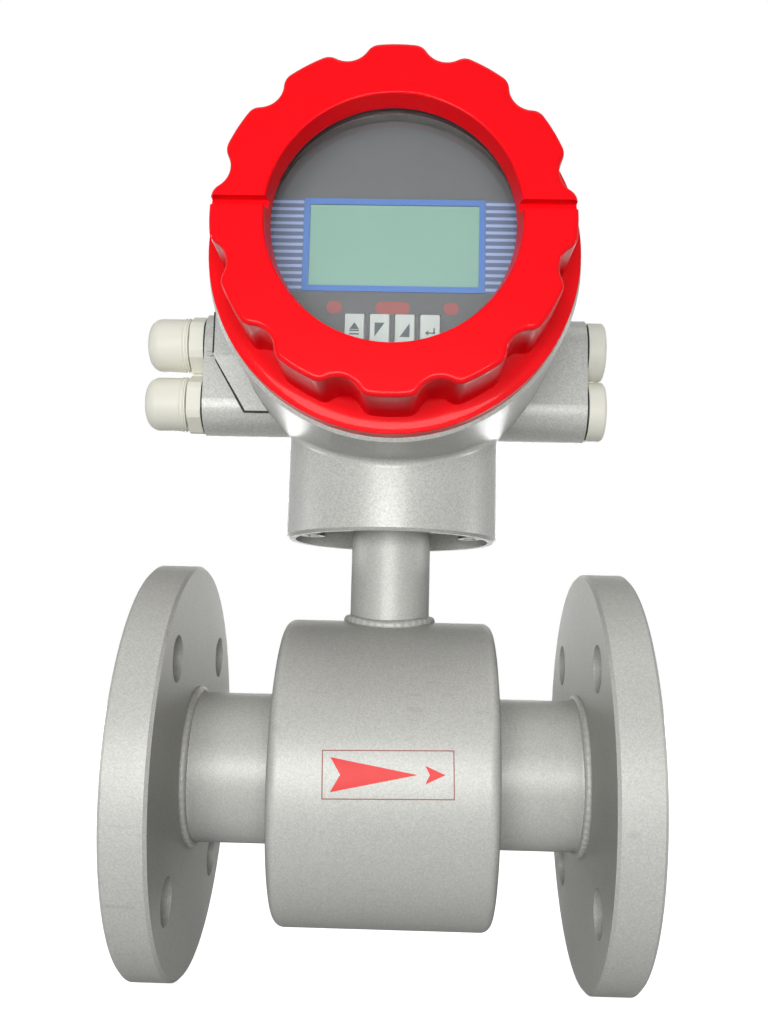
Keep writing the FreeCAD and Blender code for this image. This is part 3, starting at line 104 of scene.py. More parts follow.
@dataclass(frozen=True)
class Patch:
    """Points and four-sided faces of one surface, in millimetres."""

    points: np.ndarray
    faces: np.ndarray
    smooth: bool = True

    @staticmethod
    def joined(patches: Sequence["Patch"]) -> "Patch":
        """Put several patches into one, keeping each as its own shell.

        Args:
            patches: The patches to join.

        Returns:
            One patch that holds them all.
        """
        starts = np.cumsum([0] + [len(patch.points) for patch in patches[:-1]])
        faces = [patch.faces + start for patch, start in zip(patches, starts)]
        points = np.concatenate([patch.points for patch in patches])
        return Patch(points, np.concatenate(faces), patches[0].smooth)

    def outward(self) -> "Patch":
        """Turn a closed shell's faces outwards, by the sign of the volume that they enclose.

        Returns:
            The shell with a positive volume.
        """
        a, b, c, d = (self.points[self.faces[:, corner]] for corner in range(4))
        twice = np.cross(b - a, c - a) + np.cross(c - a, d - a)
        if float(np.sum((a + b + c + d) * twice)) < 0.0:
            return Patch(self.points, self.faces[:, ::-1], self.smooth)
        return self

    def as_object(self, name: str) -> bpy.types.Object:
        """Make the patch an object at the origin, in metres.

        Args:
            name: The piece's name.

        Returns:
            The new object, linked to the scene.
        """
        mesh = bpy.data.meshes.new(name)
        mesh.from_pydata((self.points * MM).tolist(), [], self.faces.tolist())
        if self.smooth:
            mesh.shade_smooth()
        mesh.validate()
        piece = bpy.data.objects.new(name, mesh)
        bpy.context.scene.collection.objects.link(piece)
        return piece


def grid_faces(rows: int, columns: int, round_rows: bool, round_columns: bool) -> np.ndarray:
    """Corner numbers of the faces of a grid of points.

    Args:
        rows: Number of points along the first parameter.
        columns: Number of points along the second parameter.
        round_rows: True where the last row joins the first.
        round_columns: True where the last column joins the first.

    Returns:
        An array of faces with four point numbers each.
    """
    row = np.arange(rows if round_rows else rows - 1)
    column = np.arange(columns if round_columns else columns - 1)
    i, j = (grid.ravel() for grid in np.meshgrid(row, column, indexing="ij"))
    after_i, after_j = (i + 1) % rows, (j + 1) % columns
    corners = [(i, j), (after_i, j), (after_i, after_j), (i, after_j)]
    return np.stack([a * columns + b for a, b in corners], axis=1)


def around(count: int) -> np.ndarray:
    """Angles spread evenly over one full turn, the last one short of the first.

    Args:
        count: How many angles.

    Returns:
        The angles in radians.
    """
    return np.linspace(0.0, 2.0 * math.pi, count, endpoint=False)


def closed_tube(points: np.ndarray) -> Patch:
    """A ring-shaped tube: a grid that closes on itself along both parameters.

    Args:
        points: Grid of points, along the ring and then round its section.

    Returns:
        The closed tube.
    """
    rows, columns, _ = points.shape
    return Patch(points.reshape(-1, 3), grid_faces(rows, columns, True, True)).outward()


def capped_ridge(points: np.ndarray) -> Patch:
    """An open ridge with a four-sided section, closed by one face at each end.

    Args:
        points: Grid of points, along the ridge and then round its section.

    Returns:
        The closed ridge.
    """
    rows, columns, _ = points.shape
    last = (rows - 1) * columns
    caps = np.array([[3, 2, 1, 0], [last, last + 1, last + 2, last + 3]])
    faces = np.concatenate([grid_faces(rows, columns, False, True), caps])
    return Patch(points.reshape(-1, 3), faces, smooth=False).outward()


def slab(top: np.ndarray, normals: np.ndarray, thickness: float) -> Patch:
    """A thin closed sheet: a grid, the same grid sunk by its thickness, and a rim.

    Args:
        top: Grid of points of the outer face.
        normals: Outward unit normals of the same grid, or one for all.
        thickness: Thickness in millimetres.

    Returns:
        The closed sheet.
    """
    rows, columns, _ = top.shape
    count = rows * columns
    bottom = top - np.broadcast_to(normals, top.shape) * thickness
    upper = grid_faces(rows, columns, False, False)
    lower = upper[:, ::-1] + count
    number = np.arange(count).reshape(rows, columns)
    loop = np.concatenate([number[:-1, 0], number[-1, :-1], number[:0:-1, -1], number[0, :0:-1]])
    after = np.roll(loop, -1)
    rim = np.stack([after, loop, loop + count, after + count], axis=1)
    points = np.concatenate([top.reshape(-1, 3), bottom.reshape(-1, 3)])
    return Patch(points, np.concatenate([upper, lower, rim]), smooth=False).outward()


def ruled(first: np.ndarray, second: np.ndarray, steps: int = 2) -> np.ndarray:
    """Straight lines from each point of one curve to the same point of another.

    Args:
        first: Points of the first curve.
        second: As many points of the second curve.
        steps: Points on each straight line.

    Returns:
        Grid of points, along the curves and then across them.
    """
    share = np.linspace(0.0, 1.0, steps)[None, :, None]
    return first[:, None, :] * (1.0 - share) + second[:, None, :] * share


def line(start: Sequence[float], end: Sequence[float], steps: int) -> np.ndarray:
    """Points spread evenly along a straight line.

    Args:
        start: Where it starts.
        end: Where it ends.
        steps: How many points.

    Returns:
        The points.
    """
    share = np.linspace(0.0, 1.0, steps)[:, None]
    return np.array(start, float) * (1.0 - share) + np.array(end, float) * share


def strip(corners: Sequence[Sequence[float]], steps: int, across: int = 2) -> np.ndarray:
    """A strip ruled between two straight edges.

    Args:
        corners: Start and end of the first edge, then of the second.
        steps: Points along each edge.
        across: Points from the one edge to the other.

    Returns:
        Grid of points, along the edges and then across them.
    """
    start, end, far_start, far_end = corners
    return ruled(line(start, end, steps), line(far_start, far_end, steps), across)


# ------------------------------------------------------------------ shading


class ShaderTree:
    """A node tree that is filled node by node."""

    def __init__(self, tree: bpy.types.NodeTree) -> None:
        """Keep the tree and empty it.

        Args:
            tree: The tree of a material, a world or a group.
        """
        self.tree = tree
        tree.nodes.clear()

    def add(
        self, kind: str, inputs: dict[str, object] | None = None, **settings: object
    ) -> bpy.types.Node:
        """Add a node.

        Args:
            kind: The node's type name.
            inputs: Socket names with a value, or another node's output to link.
            settings: Properties of the node itself.

        Returns:
            The new node.
        """
        node = self.tree.nodes.new(kind)
        for name, value in settings.items():
            setattr(node, name, value)
        for name, value in (inputs or {}).items():
            self.feed(node.inputs[name], value)
        return node

    def feed(self, socket: Socket, value: object) -> None:
        """Link a socket to an output, or set its own value.

        Args:
            socket: The input socket.
            value: Another node's output, or a plain value.
        """
        if isinstance(value, bpy.types.NodeSocket):
            self.tree.links.new(value, socket)
        else:
            socket.default_value = value

    def maths(self, operation: str, first: object, second: object) -> Socket:
        """The result of one sum on two values.

        Args:
            operation: Blender's name of the sum.
            first: An output or a number.
            second: An output or a number.

        Returns:
            The output with the result.
        """
        node = self.add("ShaderNodeMath", operation=operation)
        self.feed(node.inputs[0], first)
        self.feed(node.inputs[1], second)
        return node.outputs[0]

    def spread(self, value: Socket, low: object, high: object) -> Socket:
        """Stretch a value between 0 and 1 to run from low to high.

        Args:
            value: The output to stretch.
            low: What 0 becomes.
            high: What 1 becomes.

        Returns:
            The stretched output.
        """
        node = self.add("ShaderNodeMapRange", {"Value": value, "To Min": low, "To Max": high})
        return node.outputs["Result"]

    def place(self) -> Socket:
        """The point of the surface in the part's frame.

        Returns:
            The output with its coordinates.
        """
        return self.add("ShaderNodeTexCoord").outputs["Object"]

    def noise(self, scale: object, detail: float, where: Socket | None = None) -> Socket:
        """Soft noise between 0 and 1.

        Args:
            scale: Waves per metre.
            detail: How many finer layers lie on top.
            where: The place to read it at, or none for the surface's own.

        Returns:
            The output with the noise.
        """
        inputs = {"Vector": where or self.place(), "Scale": scale, "Detail": detail}
        return self.add("ShaderNodeTexNoise", inputs).outputs["Fac"]

    def effect(self, effect: Effect, **inputs: float) -> Socket:
        """Place one of the shared effects.

        Args:
            effect: Which effect.
            inputs: Its numbers by name.

        Returns:
            Its only output.
        """
        node = self.add("ShaderNodeGroup", node_tree=bpy.data.node_groups[effect.value])
        for name, value in inputs.items():
            node.inputs[name].default_value = value
        return node.outputs[0]


class EffectShop:
    """Builds the node groups that the finishes share."""

    def build(self) -> None:
        """Build every shared effect once."""
        self.paint_tone()
        self.surface_peel()
        self.handling_scuffs()

    def start(
        self, effect: Effect, inputs: Sequence[str], output: str
    ) -> tuple[ShaderTree, bpy.types.Node, bpy.types.Node]:
        """Open a new group with its sockets.

        Args:
            effect: The effect, whose value names the group.
            inputs: Names of its number inputs.
            output: Name of its one output.

        Returns:
            The tree to fill, its input node and its output node.
        """
        group = bpy.data.node_groups.new(effect.value, "ShaderNodeTree")
        for name in inputs:
            group.interface.new_socket(name, in_out="INPUT", socket_type="NodeSocketFloat")
        group.interface.new_socket(output, in_out="OUTPUT", socket_type="NodeSocketFloat")
        tree = ShaderTree(group)
        return tree, tree.add("NodeGroupInput"), tree.add("NodeGroupOutput")

    def paint_tone(self) -> None:
        """Brightness near 1: metal flakes as random cells, over slow soft mottling."""
        names = ("flake", "flake_scale", "mottle", "mottle_scale")
        tree, given, out = self.start(Effect.TONE, names, "tone")
        cells = tree.add(
            "ShaderNodeTexVoronoi", {"Vector": tree.place(), "Scale": given.outputs["flake_scale"]}
        )
        grain = tree.add("ShaderNodeSeparateColor", {"Color": cells.outputs["Color"]})
        flake = tree.maths("SUBTRACT", grain.outputs["Red"], 0.5)
        flake = tree.maths("MULTIPLY", flake, given.outputs["flake"])
        cloud = tree.noise(given.outputs["mottle_scale"], 3.0)
        cloud = tree.maths("MULTIPLY", tree.maths("SUBTRACT", cloud, 0.5), given.outputs["mottle"])
        both = tree.maths("ADD", flake, cloud)
        tree.feed(out.inputs["tone"], tree.maths("ADD", both, 1.0))

    def surface_peel(self) -> None:
        """Height in metres: the slow waves of sprayed paint with a finer grain on top."""
        tree, given, out = self.start(Effect.PEEL, ("depth", "scale"), "height")
        wave = tree.noise(given.outputs["scale"], 1.0)
        grain = tree.noise(tree.maths("MULTIPLY", given.outputs["scale"], 3.5), 2.0)
        both = tree.maths("ADD", wave, tree.maths("MULTIPLY", grain, 0.35))
        tree.feed(out.inputs["height"], tree.maths("MULTIPLY", both, given.outputs["depth"]))

    def handling_scuffs(self) -> None:
        """Mask of thin streaks left by handling: stretched noise above a threshold."""
        tree, given, out = self.start(Effect.SCUFF, ("amount", "scale"), "mask")
        stretched = tree.add(
            "ShaderNodeMapping",
            {"Vector": tree.place(), "Rotation": (0.6, 0.3, 0.9), "Scale": (1.0, 7.0, 2.2)},
        )
        streak = tree.noise(given.outputs["scale"], 4.0, stretched.outputs["Vector"])
        patch = tree.noise(tree.maths("MULTIPLY", given.outputs["scale"], 0.3), 1.0)
        node = tree.add("ShaderNodeMapRange", {"Value": streak, "From Min": 0.6, "From Max": 0.72})
        where = tree.add("ShaderNodeMapRange", {"Value": patch, "From Min": 0.5, "From Max": 0.62})
        mask = tree.maths("MULTIPLY", node.outputs["Result"], where.outputs["Result"])
        tree.feed(out.inputs["mask"], tree.maths("MULTIPLY", mask, given.outputs["amount"]))


@dataclass(frozen=True)
class Finish:
    """One surface finish: its colour, gloss and the effects laid over it."""

    name: str
    colour: Colour
    roughness: float
    metallic: float = 0.0
    specular: float = 0.4
    coat: float = 0.0
    coat_roughness: float = 0.15
    flake: float = 0.0
    flake_scale: float = 2200.0
    mottle: float = 0.06
    mottle_scale: float = 40.0
    peel: float = 0.0
    peel_scale: float = 500.0
    scuff: float = 0.0
    scuff_scale: float = 90.0

    def material(self) -> bpy.types.Material:
        """The finish as a material, made once and then found again by its name.

        Returns:
            The material.
        """
        name = f"{self.name}_finish"
        found = bpy.data.materials.get(name)
        if found:
            return found
        material = bpy.data.materials.new(name)
        material.use_nodes = True
        self.fill(ShaderTree(material.node_tree))
        return material

    def fill(self, tree: ShaderTree) -> None:
        """Lay the nodes of the finish.

        Args:
            tree: The material's tree.
        """
        shader = self.shader(tree)
        tree.add("ShaderNodeOutputMaterial", {"Surface": shader.outputs["BSDF"]})

    def shader(self, tree: ShaderTree) -> bpy.types.Node:
        """The shader of the finish, with its colour, roughness and relief.

        Args:
            tree: The tree to lay it in.

        Returns:
            The shader node.
        """
        tone = tree.effect(
            Effect.TONE,
            flake=self.flake,
            flake_scale=self.flake_scale,
            mottle=self.mottle,
            mottle_scale=self.mottle_scale,
        )
        mask = tree.effect(Effect.SCUFF, amount=self.scuff, scale=self.scuff_scale)
        shade = tree.maths("MULTIPLY", tone, tree.maths("SUBTRACT", 1.0, mask))
        mix = tree.add("ShaderNodeMix", data_type="RGBA", blend_type="MULTIPLY")
        tree.feed(mix.inputs["Factor"], 1.0)
        tree.feed(mix.inputs["A"], self.colour)
        tree.feed(mix.inputs["B"], shade)
        rough = tree.maths("ADD", tree.maths("MULTIPLY", mask, 0.25), self.roughness)
        rough = tree.maths("ADD", rough, tree.maths("MULTIPLY", tree.noise(150.0, 2.0), 0.05))
        height = tree.effect(Effect.PEEL, depth=self.peel, scale=self.peel_scale)
        relief = tree.add("ShaderNodeBump", {"Height": height, "Distance": 1.0, "Strength": 1.0})
        return tree.add(
            "ShaderNodeBsdfPrincipled",
            {
                "Base Color": mix.outputs["Result"],
                "Roughness": rough,
                "Metallic": self.metallic,
                "Specular IOR Level": self.specular,
                "Coat Weight": self.coat,
                "Coat Roughness": self.coat_roughness,
                "Normal": relief.outputs["Normal"],
            },
        )


@dataclass(frozen=True)
class ClearGlass(Finish):
    """Flat glass that lets the lamps through to what is behind it."""

    def fill(self, tree: ShaderTree) -> None:
        """Lay glass, and a clear path through it for the lamps' rays.

        Args:
            tree: The material's tree.
        """
        glass = tree.add(
            "ShaderNodeBsdfPrincipled",
            {
                "Base Color": self.colour,
                "Roughness": self.roughness,
                "IOR": 1.47,
                "Transmission Weight": 1.0,
                "Specular IOR Level": self.specular,
            },
        )
        clear = tree.add("ShaderNodeBsdfTransparent", {"Color": self.colour})
        path = tree.add("ShaderNodeLightPath")
        mix = tree.add("ShaderNodeMixShader")
        tree.feed(mix.inputs[0], path.outputs["Is Shadow Ray"])
        tree.feed(mix.inputs[1], glass.outputs["BSDF"])
        tree.feed(mix.inputs[2], clear.outputs["BSDF"])
        tree.add("ShaderNodeOutputMaterial", {"Surface": mix.outputs["Shader"]})


SILVER_STEEL = Finish(
    "silver_steel_paint",
    linear(192, 193, 188),
    0.42,
    metallic=0.15,
    specular=0.0,
    flake=0.22,
    flake_scale=2600.0,
    peel=0.000012,
    peel_scale=380.0,
    scuff=0.12,
)
SILVER_CASTING = Finish(
    "silver_casting_paint",
    linear(192, 193, 188),
    0.36,
    metallic=0.15,
    specular=0.2,
    coat=0.05,
    flake=0.28,
    flake_scale=2200.0,
    peel=0.000022,
    peel_scale=380.0,
)
RED_ENAMEL = Finish(
    "red_enamel",
    linear(248, 2, 18),
    0.3,
    specular=0.06,
    coat=0.14,
    coat_roughness=0.05,
    mottle=0.1,
    mottle_scale=30.0,
    peel=0.00002,
    peel_scale=220.0,
)
STAINLESS = Finish("stainless_steel", linear(190, 190, 188), 0.3, metallic=1.0, peel=0.000008)
ZINC = Finish("zinc_plate", linear(150, 149, 144), 0.4, metallic=1.0, mottle=0.2)
SOFT_IRON = Finish("soft_iron", linear(96, 96, 98), 0.5, metallic=0.9, mottle=0.3)
COPPER = Finish("enamelled_copper", linear(190, 104, 62), 0.35, metallic=0.9, mottle=0.2)
LINING = Finish("white_lining", linear(232, 232, 228), 0.5, mottle=0.05)
RUBBER = Finish("black_rubber", linear(34, 34, 35), 0.62, mottle=0.2, peel=0.00002)
IVORY = Finish(
    "ivory_nylon",
    linear(242, 241, 228),
    0.42,
    specular=0.35,
    mottle=0.05,
    peel=0.00001,
    peel_scale=900.0,
)
BLACK_PLASTIC = Finish("black_plastic", linear(38, 38, 40), 0.5, mottle=0.1)
PANEL_GREY = Finish("panel_grey", linear(84, 85, 87), 0.45, specular=0.2, mottle=0.08)
FRAME_BLUE = Finish("frame_blue", linear(66, 106, 170), 0.4, specular=0.2)
BAND_BLUE = Finish("band_blue", linear(72, 84, 116), 0.45)
STRIPE_BLUE = Finish("stripe_blue", linear(136, 152, 190), 0.45)
SCREEN = Finish("display_screen_green", linear(118, 153, 140), 0.35, specular=0.2, mottle=0.04)
KEY_WHITE = Finish("key_white", linear(170, 174, 171), 0.4)
SIGN_INK = Finish("sign_ink", linear(60, 66, 72), 0.5)
MARK_RED = Finish("mark_red", linear(132, 62, 60), 0.4)
LABEL_RED = Finish("label_red", linear(240, 56, 54), 0.35, specular=0.2, mottle=0.1)
LABEL_RULE = Finish("label_rule", linear(168, 112, 108), 0.4, specular=0.2)
BOARD_GREEN = Finish("circuit_board_green", linear(30, 96, 58), 0.4, mottle=0.2)
TERMINAL_GREEN = Finish("terminal_green", linear(44, 104, 78), 0.45)
WINDOW_GLASS = ClearGlass("window_glass_clear", (0.97, 0.985, 0.98, 1.0), 0.02, specular=0.5)


# ------------------------------------------------------------------ sub-assemblies


class SubAssembly:
    """A group of pieces that are built and dressed together."""

    def dress(self, finish: Finish, *nodes: str) -> None:
        """Give CAD nodes a finish.

        Args:
            finish: The finish.
            nodes: Names of the nodes.
        """
        for name in nodes:
            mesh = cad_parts[name].data
            mesh.materials.clear()
            mesh.materials.append(finish.material())
            LOG.info("%s: %s", name, finish.name)

    def fit(self, patch: Patch, name: str, finish: Finish, slot: str, body: str) -> None:
        """Make a new piece, dress it and let it ride on a body.

        Args:
            patch: Its surface.
            name: Its name.
            finish: Its finish.
            slot: Not used.
            body: The body that carries it.
        """
        piece = patch.as_object(name)
        piece.data.materials.append(finish.material())
        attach(piece, body)
        LOG.info("%s: %d faces, %s", name, len(patch.faces), finish.name)


@dataclass
class FlowTube(SubAssembly):
    """Measuring tube, lining and flanges, with the weld beads behind the flanges."""

    tube_radius: float = 30.15
    flange_back: float = 79.0
    bead_radius: float = 1.75
    bead_inset: float = 0.7
    bead_ripples: int = 61
    ripple: float = 0.1
    wander: float = 0.12
    drift: float = 1.3

    def build(self) -> None:
        """Dress the tube and lay the two ring welds."""
        self.dress(SILVER_STEEL, "measuring_tube", "inlet_flange", "outlet_flange")
        self.dress(LINING, "liner")
        beads = [self.ring_bead(side) for side in Side]
        self.fit(Patch.joined(beads), "flange_welds", SILVER_STEEL, "painted_steel", METER_BODY)

    def ring_bead(self, side: Side) -> Patch:
        """A torus round the tube in the corner of the flange, with ripples along it.

        Args:
            side: Which flange.

        Returns:
            The bead.
        """
        along, across = around(480)[:, None], around(14)[None, :]
        phase = self.bead_ripples * along + self.drift * np.sin(3.0 * along + side.value)
        swell = self.ripple * np.sin(phase) + self.wander * np.sin(5.0 * along + side.value)
        radius = self.bead_radius + swell
        reach = self.tube_radius + self.bead_inset + radius * np.sin(across)
        place = self.flange_back - self.bead_inset - radius * np.cos(across)
        x = side.value * place + 0.0 * along
        y, z = reach * np.cos(along), reach * np.sin(along)
        return closed_tube(np.stack(np.broadcast_arrays(x, y, z), axis=2))


@dataclass(frozen=True)
class Dart:
    """One arrow of the label: its places along the flow and half its width."""

    tail: float
    notch: float
    tip: float
    half_width: float
    blunt: float = 0.05


@dataclass
class FlowLabel:
    """Printed flow direction: a thin frame with a long arrow and a short one behind it."""

    centre_x: float = 1.7
    centre_rise: float = 5.35
    tilt_degrees: float = 1.2
    width: float = 47.4
    height: float = 17.3
    rule: float = 0.4
    lift: float = 0.06
    thickness: float = 0.05
    darts: tuple[Dart, ...] = (Dart(-20.7, -17.1, 10.3, 6.1), Dart(13.3, 14.9, 20.3, 3.2))

    def bent(self, flat: np.ndarray, radius: float) -> Patch:
        """Lay a flat grid on the housing's barrel.

        Args:
            flat: Grid of (along, up) places in the label's own frame.
            radius: Radius of the barrel.

        Returns:
            A thin sheet bent round the barrel.
        """
        tilt = math.radians(self.tilt_degrees)
        along, up = flat[..., 0], flat[..., 1]
        x = self.centre_x + along * math.cos(tilt) - up * math.sin(tilt)
        angle = (self.centre_rise + along * math.sin(tilt) + up * math.cos(tilt)) / radius
        normals = np.stack([np.zeros_like(x), -np.cos(angle), np.sin(angle)], axis=-1)
        top = normals * (radius + self.lift + self.thickness)
        top[..., 0] = x
        return slab(top, normals, self.thickness)

    def arrow(self, dart: Dart, radius: float) -> Patch:
        """A dart: two ruled wings between its edge lines and its middle line.

        Args:
            dart: The arrow's measures.
            radius: Radius of the barrel.

        Returns:
            The arrow, bent round the barrel.
        """
        middle = line((dart.notch, 0.0), (dart.tip, 0.0), 24)
        upper = line((dart.tail, dart.half_width), (dart.tip, dart.blunt), 24)
        lower = line((dart.tail, -dart.half_width), (dart.tip, -dart.blunt), 24)
        wings = (ruled(middle, upper, 8), ruled(lower, middle, 8))
        return Patch.joined([self.bent(wing, radius) for wing in wings])

    def frame(self, radius: float) -> Patch:
        """Four thin straight rules round the label.

        Args:
            radius: Radius of the barrel.

        Returns:
            The rules, bent round the barrel.
        """
        w, h, r = self.width / 2.0, self.height / 2.0, self.rule
        bars = (
            ((-w, h - r), (w, h - r), (-w, h), (w, h)),
            ((-w, -h), (w, -h), (-w, r - h), (w, r - h)),
            ((-w, r - h), (r - w, r - h), (-w, h - r), (r - w, h - r)),
            ((w - r, r - h), (w, r - h), (w - r, h - r), (w, h - r)),
        )
        return Patch.joined([self.bent(strip(bar, 32, 12), radius) for bar in bars])


@dataclass
class CoilHousing(SubAssembly):
    """Coil housing with its flow label, the magnet inside it and the electrodes."""

    radius: float = 61.2
    neck_radius: float = 16.5
    bead_radius: float = 2.0
    bead_inset: float = 0.5
    bead_ripples: tuple[float, float] = (37.0, 4.0)
    ripple: float = 0.1

    def build(self) -> None:
        """Dress the housing, lay the neck weld and print the flow label."""
        self.dress(SILVER_STEEL, "coil_housing")
        self.dress(SOFT_IRON, "upper_pole_shoe", "lower_pole_shoe", "return_yoke")
        self.dress(COPPER, "upper_coil", "lower_coil")
        for side in ("front", "rear"):
            self.dress(STAINLESS, f"{side}_electrode", f"{side}_electrode_nut")
            self.dress(LINING, f"{side}_electrode_sleeve")
        self.fit(self.neck_bead(), "neck_weld", SILVER_STEEL, "painted_steel", METER_BODY)
        label = FlowLabel()
        self.fit(label.frame(self.radius), "label_frame", LABEL_RULE, "red_enamel", METER_BODY)
        printed = [label.arrow(dart, self.radius) for dart in label.darts]
        self.fit(Patch.joined(printed), "flow_arrows", LABEL_RED, "red_enamel", METER_BODY)

    def neck_bead(self) -> Patch:
        """A tube along the saddle curve where the neck meets the barrel.

        The curve's height is the root of the barrel's radius squared less its Y squared.

        Returns:
            The bead.
        """
        along, across = around(320)[:, None], around(14)[None, :]
        wave = sum(np.sin(count * along) for count in self.bead_ripples)
        radius = self.bead_radius + self.ripple * wave
        reach = self.neck_radius + self.bead_inset + radius * np.cos(across)
        x, y = reach * np.cos(along), reach * np.sin(along)
        middle = (self.neck_radius + self.bead_inset) * np.sin(along)
        saddle = np.sqrt((self.radius + self.bead_inset) ** 2 - middle**2)
        z = saddle + radius * np.sin(across)
        return closed_tube(np.stack(np.broadcast_arrays(x, y, z), axis=2))


@dataclass
class Neck(SubAssembly):
    """Neck tube and its bolted flange."""

    def build(self) -> None:
        """Dress the neck and its fasteners."""
        self.dress(SILVER_STEEL, "neck_tube", "neck_flange")
        self.dress(RUBBER, "neck_gasket")
        self.dress(ZINC, "neck_bolts", "neck_washers")


@dataclass(frozen=True)
class Thread:
    """A screw thread as one ridge: a helix of even pitch with a sharp four-sided section."""

    radius: float
    pitch: float
    start: float
    end: float
    height: float = 0.2
    flank: float = 0.35
    steps: int = 72
    fades: float = 4.0
    thinnest: float = 0.05

    def ridge(self) -> tuple[np.ndarray, np.ndarray, np.ndarray]:
        """The helix about its axis: the section fades in and out over a quarter turn.

        Returns:
            Grids of angle, distance from the axis and place along it.
        """
        turns = abs(self.end - self.start) / self.pitch
        share = np.linspace(0.0, 1.0, int(turns * self.steps))[:, None]
        fade = np.clip(np.minimum(share, 1.0 - share) * turns * self.fades, self.thinnest, 1.0)
        section = (np.arange(4) * 0.5 * math.pi)[None, :]
        angle = 2.0 * math.pi * turns * share + 0.0 * section
        reach = self.radius + self.height * fade * np.cos(section)
        middle = self.start + (self.end - self.start) * share
        return angle, reach, middle + self.flank * self.pitch * fade * np.sin(section)

    def along_y(self, height: float) -> Patch:
        """The ridge round an axis along Y.

        Args:
            height: Height of the axis above the bore.

        Returns:
            The closed ridge.
        """
        angle, reach, place = self.ridge()
        x, z = reach * np.cos(angle), height + reach * np.sin(angle)
        return capped_ridge(np.stack([x, place, z], axis=2))

    def along_x(self, height: float) -> Patch:
        """The ridge round an axis along X.

        Args:
            height: Height of the axis above the bore.

        Returns:
            The closed ridge.
        """
        angle, reach, place = self.ridge()
        y, z = reach * np.cos(angle), height + reach * np.sin(angle)
        return capped_ridge(np.stack([place, y, z], axis=2))


@dataclass
class ConverterHead(SubAssembly):
    """Head casting with its side plate, its covers and its window."""

    spigot_radius: float = 52.5
    cover_pitch: float = 2.0
    spigot_threads: tuple[tuple[str, float, float], ...] = (
        ("front", -95.2, -84.0),
        ("rear", 77.2, 66.0),
    )
    seam_place: tuple[float, float] = (-75.35, -22.2)
    seam_radius: float = 0.5
    seam_low: float = 170.0
    seam_high: float = 187.4

    def build(self) -> None:
        """Dress the casting, the covers and the glazing."""
        self.dress(SILVER_CASTING, "converter_housing", "side_plate")
        self.dress(RED_ENAMEL, "front_cover", "rear_cover")
        self.dress(WINDOW_GLASS, "window_glass")
        self.dress(BLACK_PLASTIC, "glass_retainer")
        self.dress(
            RUBBER, "glass_gasket", "front_seal_ring", "rear_seal_ring", "side_plate_gasket"
        )
        self.dress(SILVER_STEEL, "earth_screw")
        # Dark bead on the plate's left edge: partly gasket, partly painted shadow of the gap
        # between the plate and the boss.
        shade_seam = self.plate_shade_seam()
        self.fit(shade_seam, "side_plate_shade_seam", RUBBER, "rubber", METER_BODY)
        for name, start, end in self.spigot_threads:
            thread = Thread(self.spigot_radius, self.cover_pitch, start, end)
            patch = thread.along_y(HEAD_AXIS)
            self.fit(patch, f"{name}_spigot_thread", SILVER_CASTING, "painted_casting", METER_BODY)

    def plate_shade_seam(self) -> Patch:
        """A thin black bead, square in section, along the plate's left front edge. It darkens the
        seam there and is partly the plate's gasket, partly painted shadow in the gap.

        Returns:
            The bead.
        """
        along = np.linspace(self.seam_low, self.seam_high, 24)[:, None]
        turn = np.linspace(0.25, 1.75, 4) * math.pi
        x = self.seam_place[0] + self.seam_radius * np.cos(turn)[None, :] + 0.0 * along
        y = self.seam_place[1] + self.seam_radius * np.sin(turn)[None, :] + 0.0 * along
        return capped_ridge(np.stack(np.broadcast_arrays(x, y, along), axis=2))


@dataclass
class KeySign:
    """A plain symbol printed on a key, drawn as ruled strips in the key's own frame."""

    width: float = 3.4
    height: float = 5.0
    stroke: float = 0.5
    blunt: float = 0.05
    bar_levels: tuple[float, float] = (-0.7, -1.9)
    hook_level: float = -1.2
    hook_top: float = 0.9
    hook_share: float = 0.4
    head_middle: float = -0.95
    head_low: float = -1.9
    head_share: float = 0.3

    def strips(self, sign: Sign) -> list[np.ndarray]:
        """The flat strips of one symbol.

        Args:
            sign: Which symbol.

        Returns:
            Grids of (across, up) places.
        """
        if sign is Sign.MENU:
            bars = [self.bar(-self.width / 2.0, level) for level in self.bar_levels]
            return [self.point(), *bars]
        if sign is Sign.ENTER:
            hook = self.bar(-self.width / 2.0 * self.hook_share, self.hook_level)
            return [hook, self.stem(), self.head()]
        return [self.wedge(rises=sign is Sign.UP)]

    def wedge(self, rises: bool) -> np.ndarray:
        """A right-angled triangle with one edge as tall as the symbol.

        Args:
            rises: True for the tall edge on the left and the tip at the top right, False for
                the tall edge on the right and the tip at the bottom left.

        Returns:
            Its grid.
        """
        w, h = self.width / 2.0, self.height / 2.0
        if rises:
            return strip(((-w, -h), (-w, h), (w, h - self.blunt), (w, h)), 8)
        return strip(((-w, -h), (-w, self.blunt - h), (w, -h), (w, h)), 8)

    def point(self) -> np.ndarray:
        """A triangle that points up from the middle of the key.

        Returns:
            Its grid.
        """
        w, h = self.width / 2.0, self.height / 2.0
        return strip(((-w, 0.0), (0.0, h), (w, 0.0), (self.blunt, h)), 8)

    def head(self) -> np.ndarray:
        """The arrow head of the enter symbol, which points to the left.

        Returns:
            Its grid.
        """
        left, right = -self.width / 2.0, -self.width / 2.0 * self.head_share
        high, low = self.head_middle, self.head_middle - self.blunt
        return strip(((left, high), (right, 0.0), (left, low), (right, self.head_low)), 8)

    def bar(self, left: float, level: float) -> np.ndarray:
        """A level stroke that ends at the symbol's right edge.

        Args:
            left: Where it starts.
            level: Where its lower edge lies.

        Returns:
            Its grid.
        """
        right, top = self.width / 2.0, level + self.stroke
        return strip(((left, level), (right, level), (left, top), (right, top)), 4)

    def stem(self) -> np.ndarray:
        """The upright stroke of the enter symbol.

        Returns:
            Its grid.
        """
        right, low, high = self.width / 2.0, self.hook_level, self.hook_top
        left = right - self.stroke
        return strip(((left, low), (left, high), (right, low), (right, high)), 4)


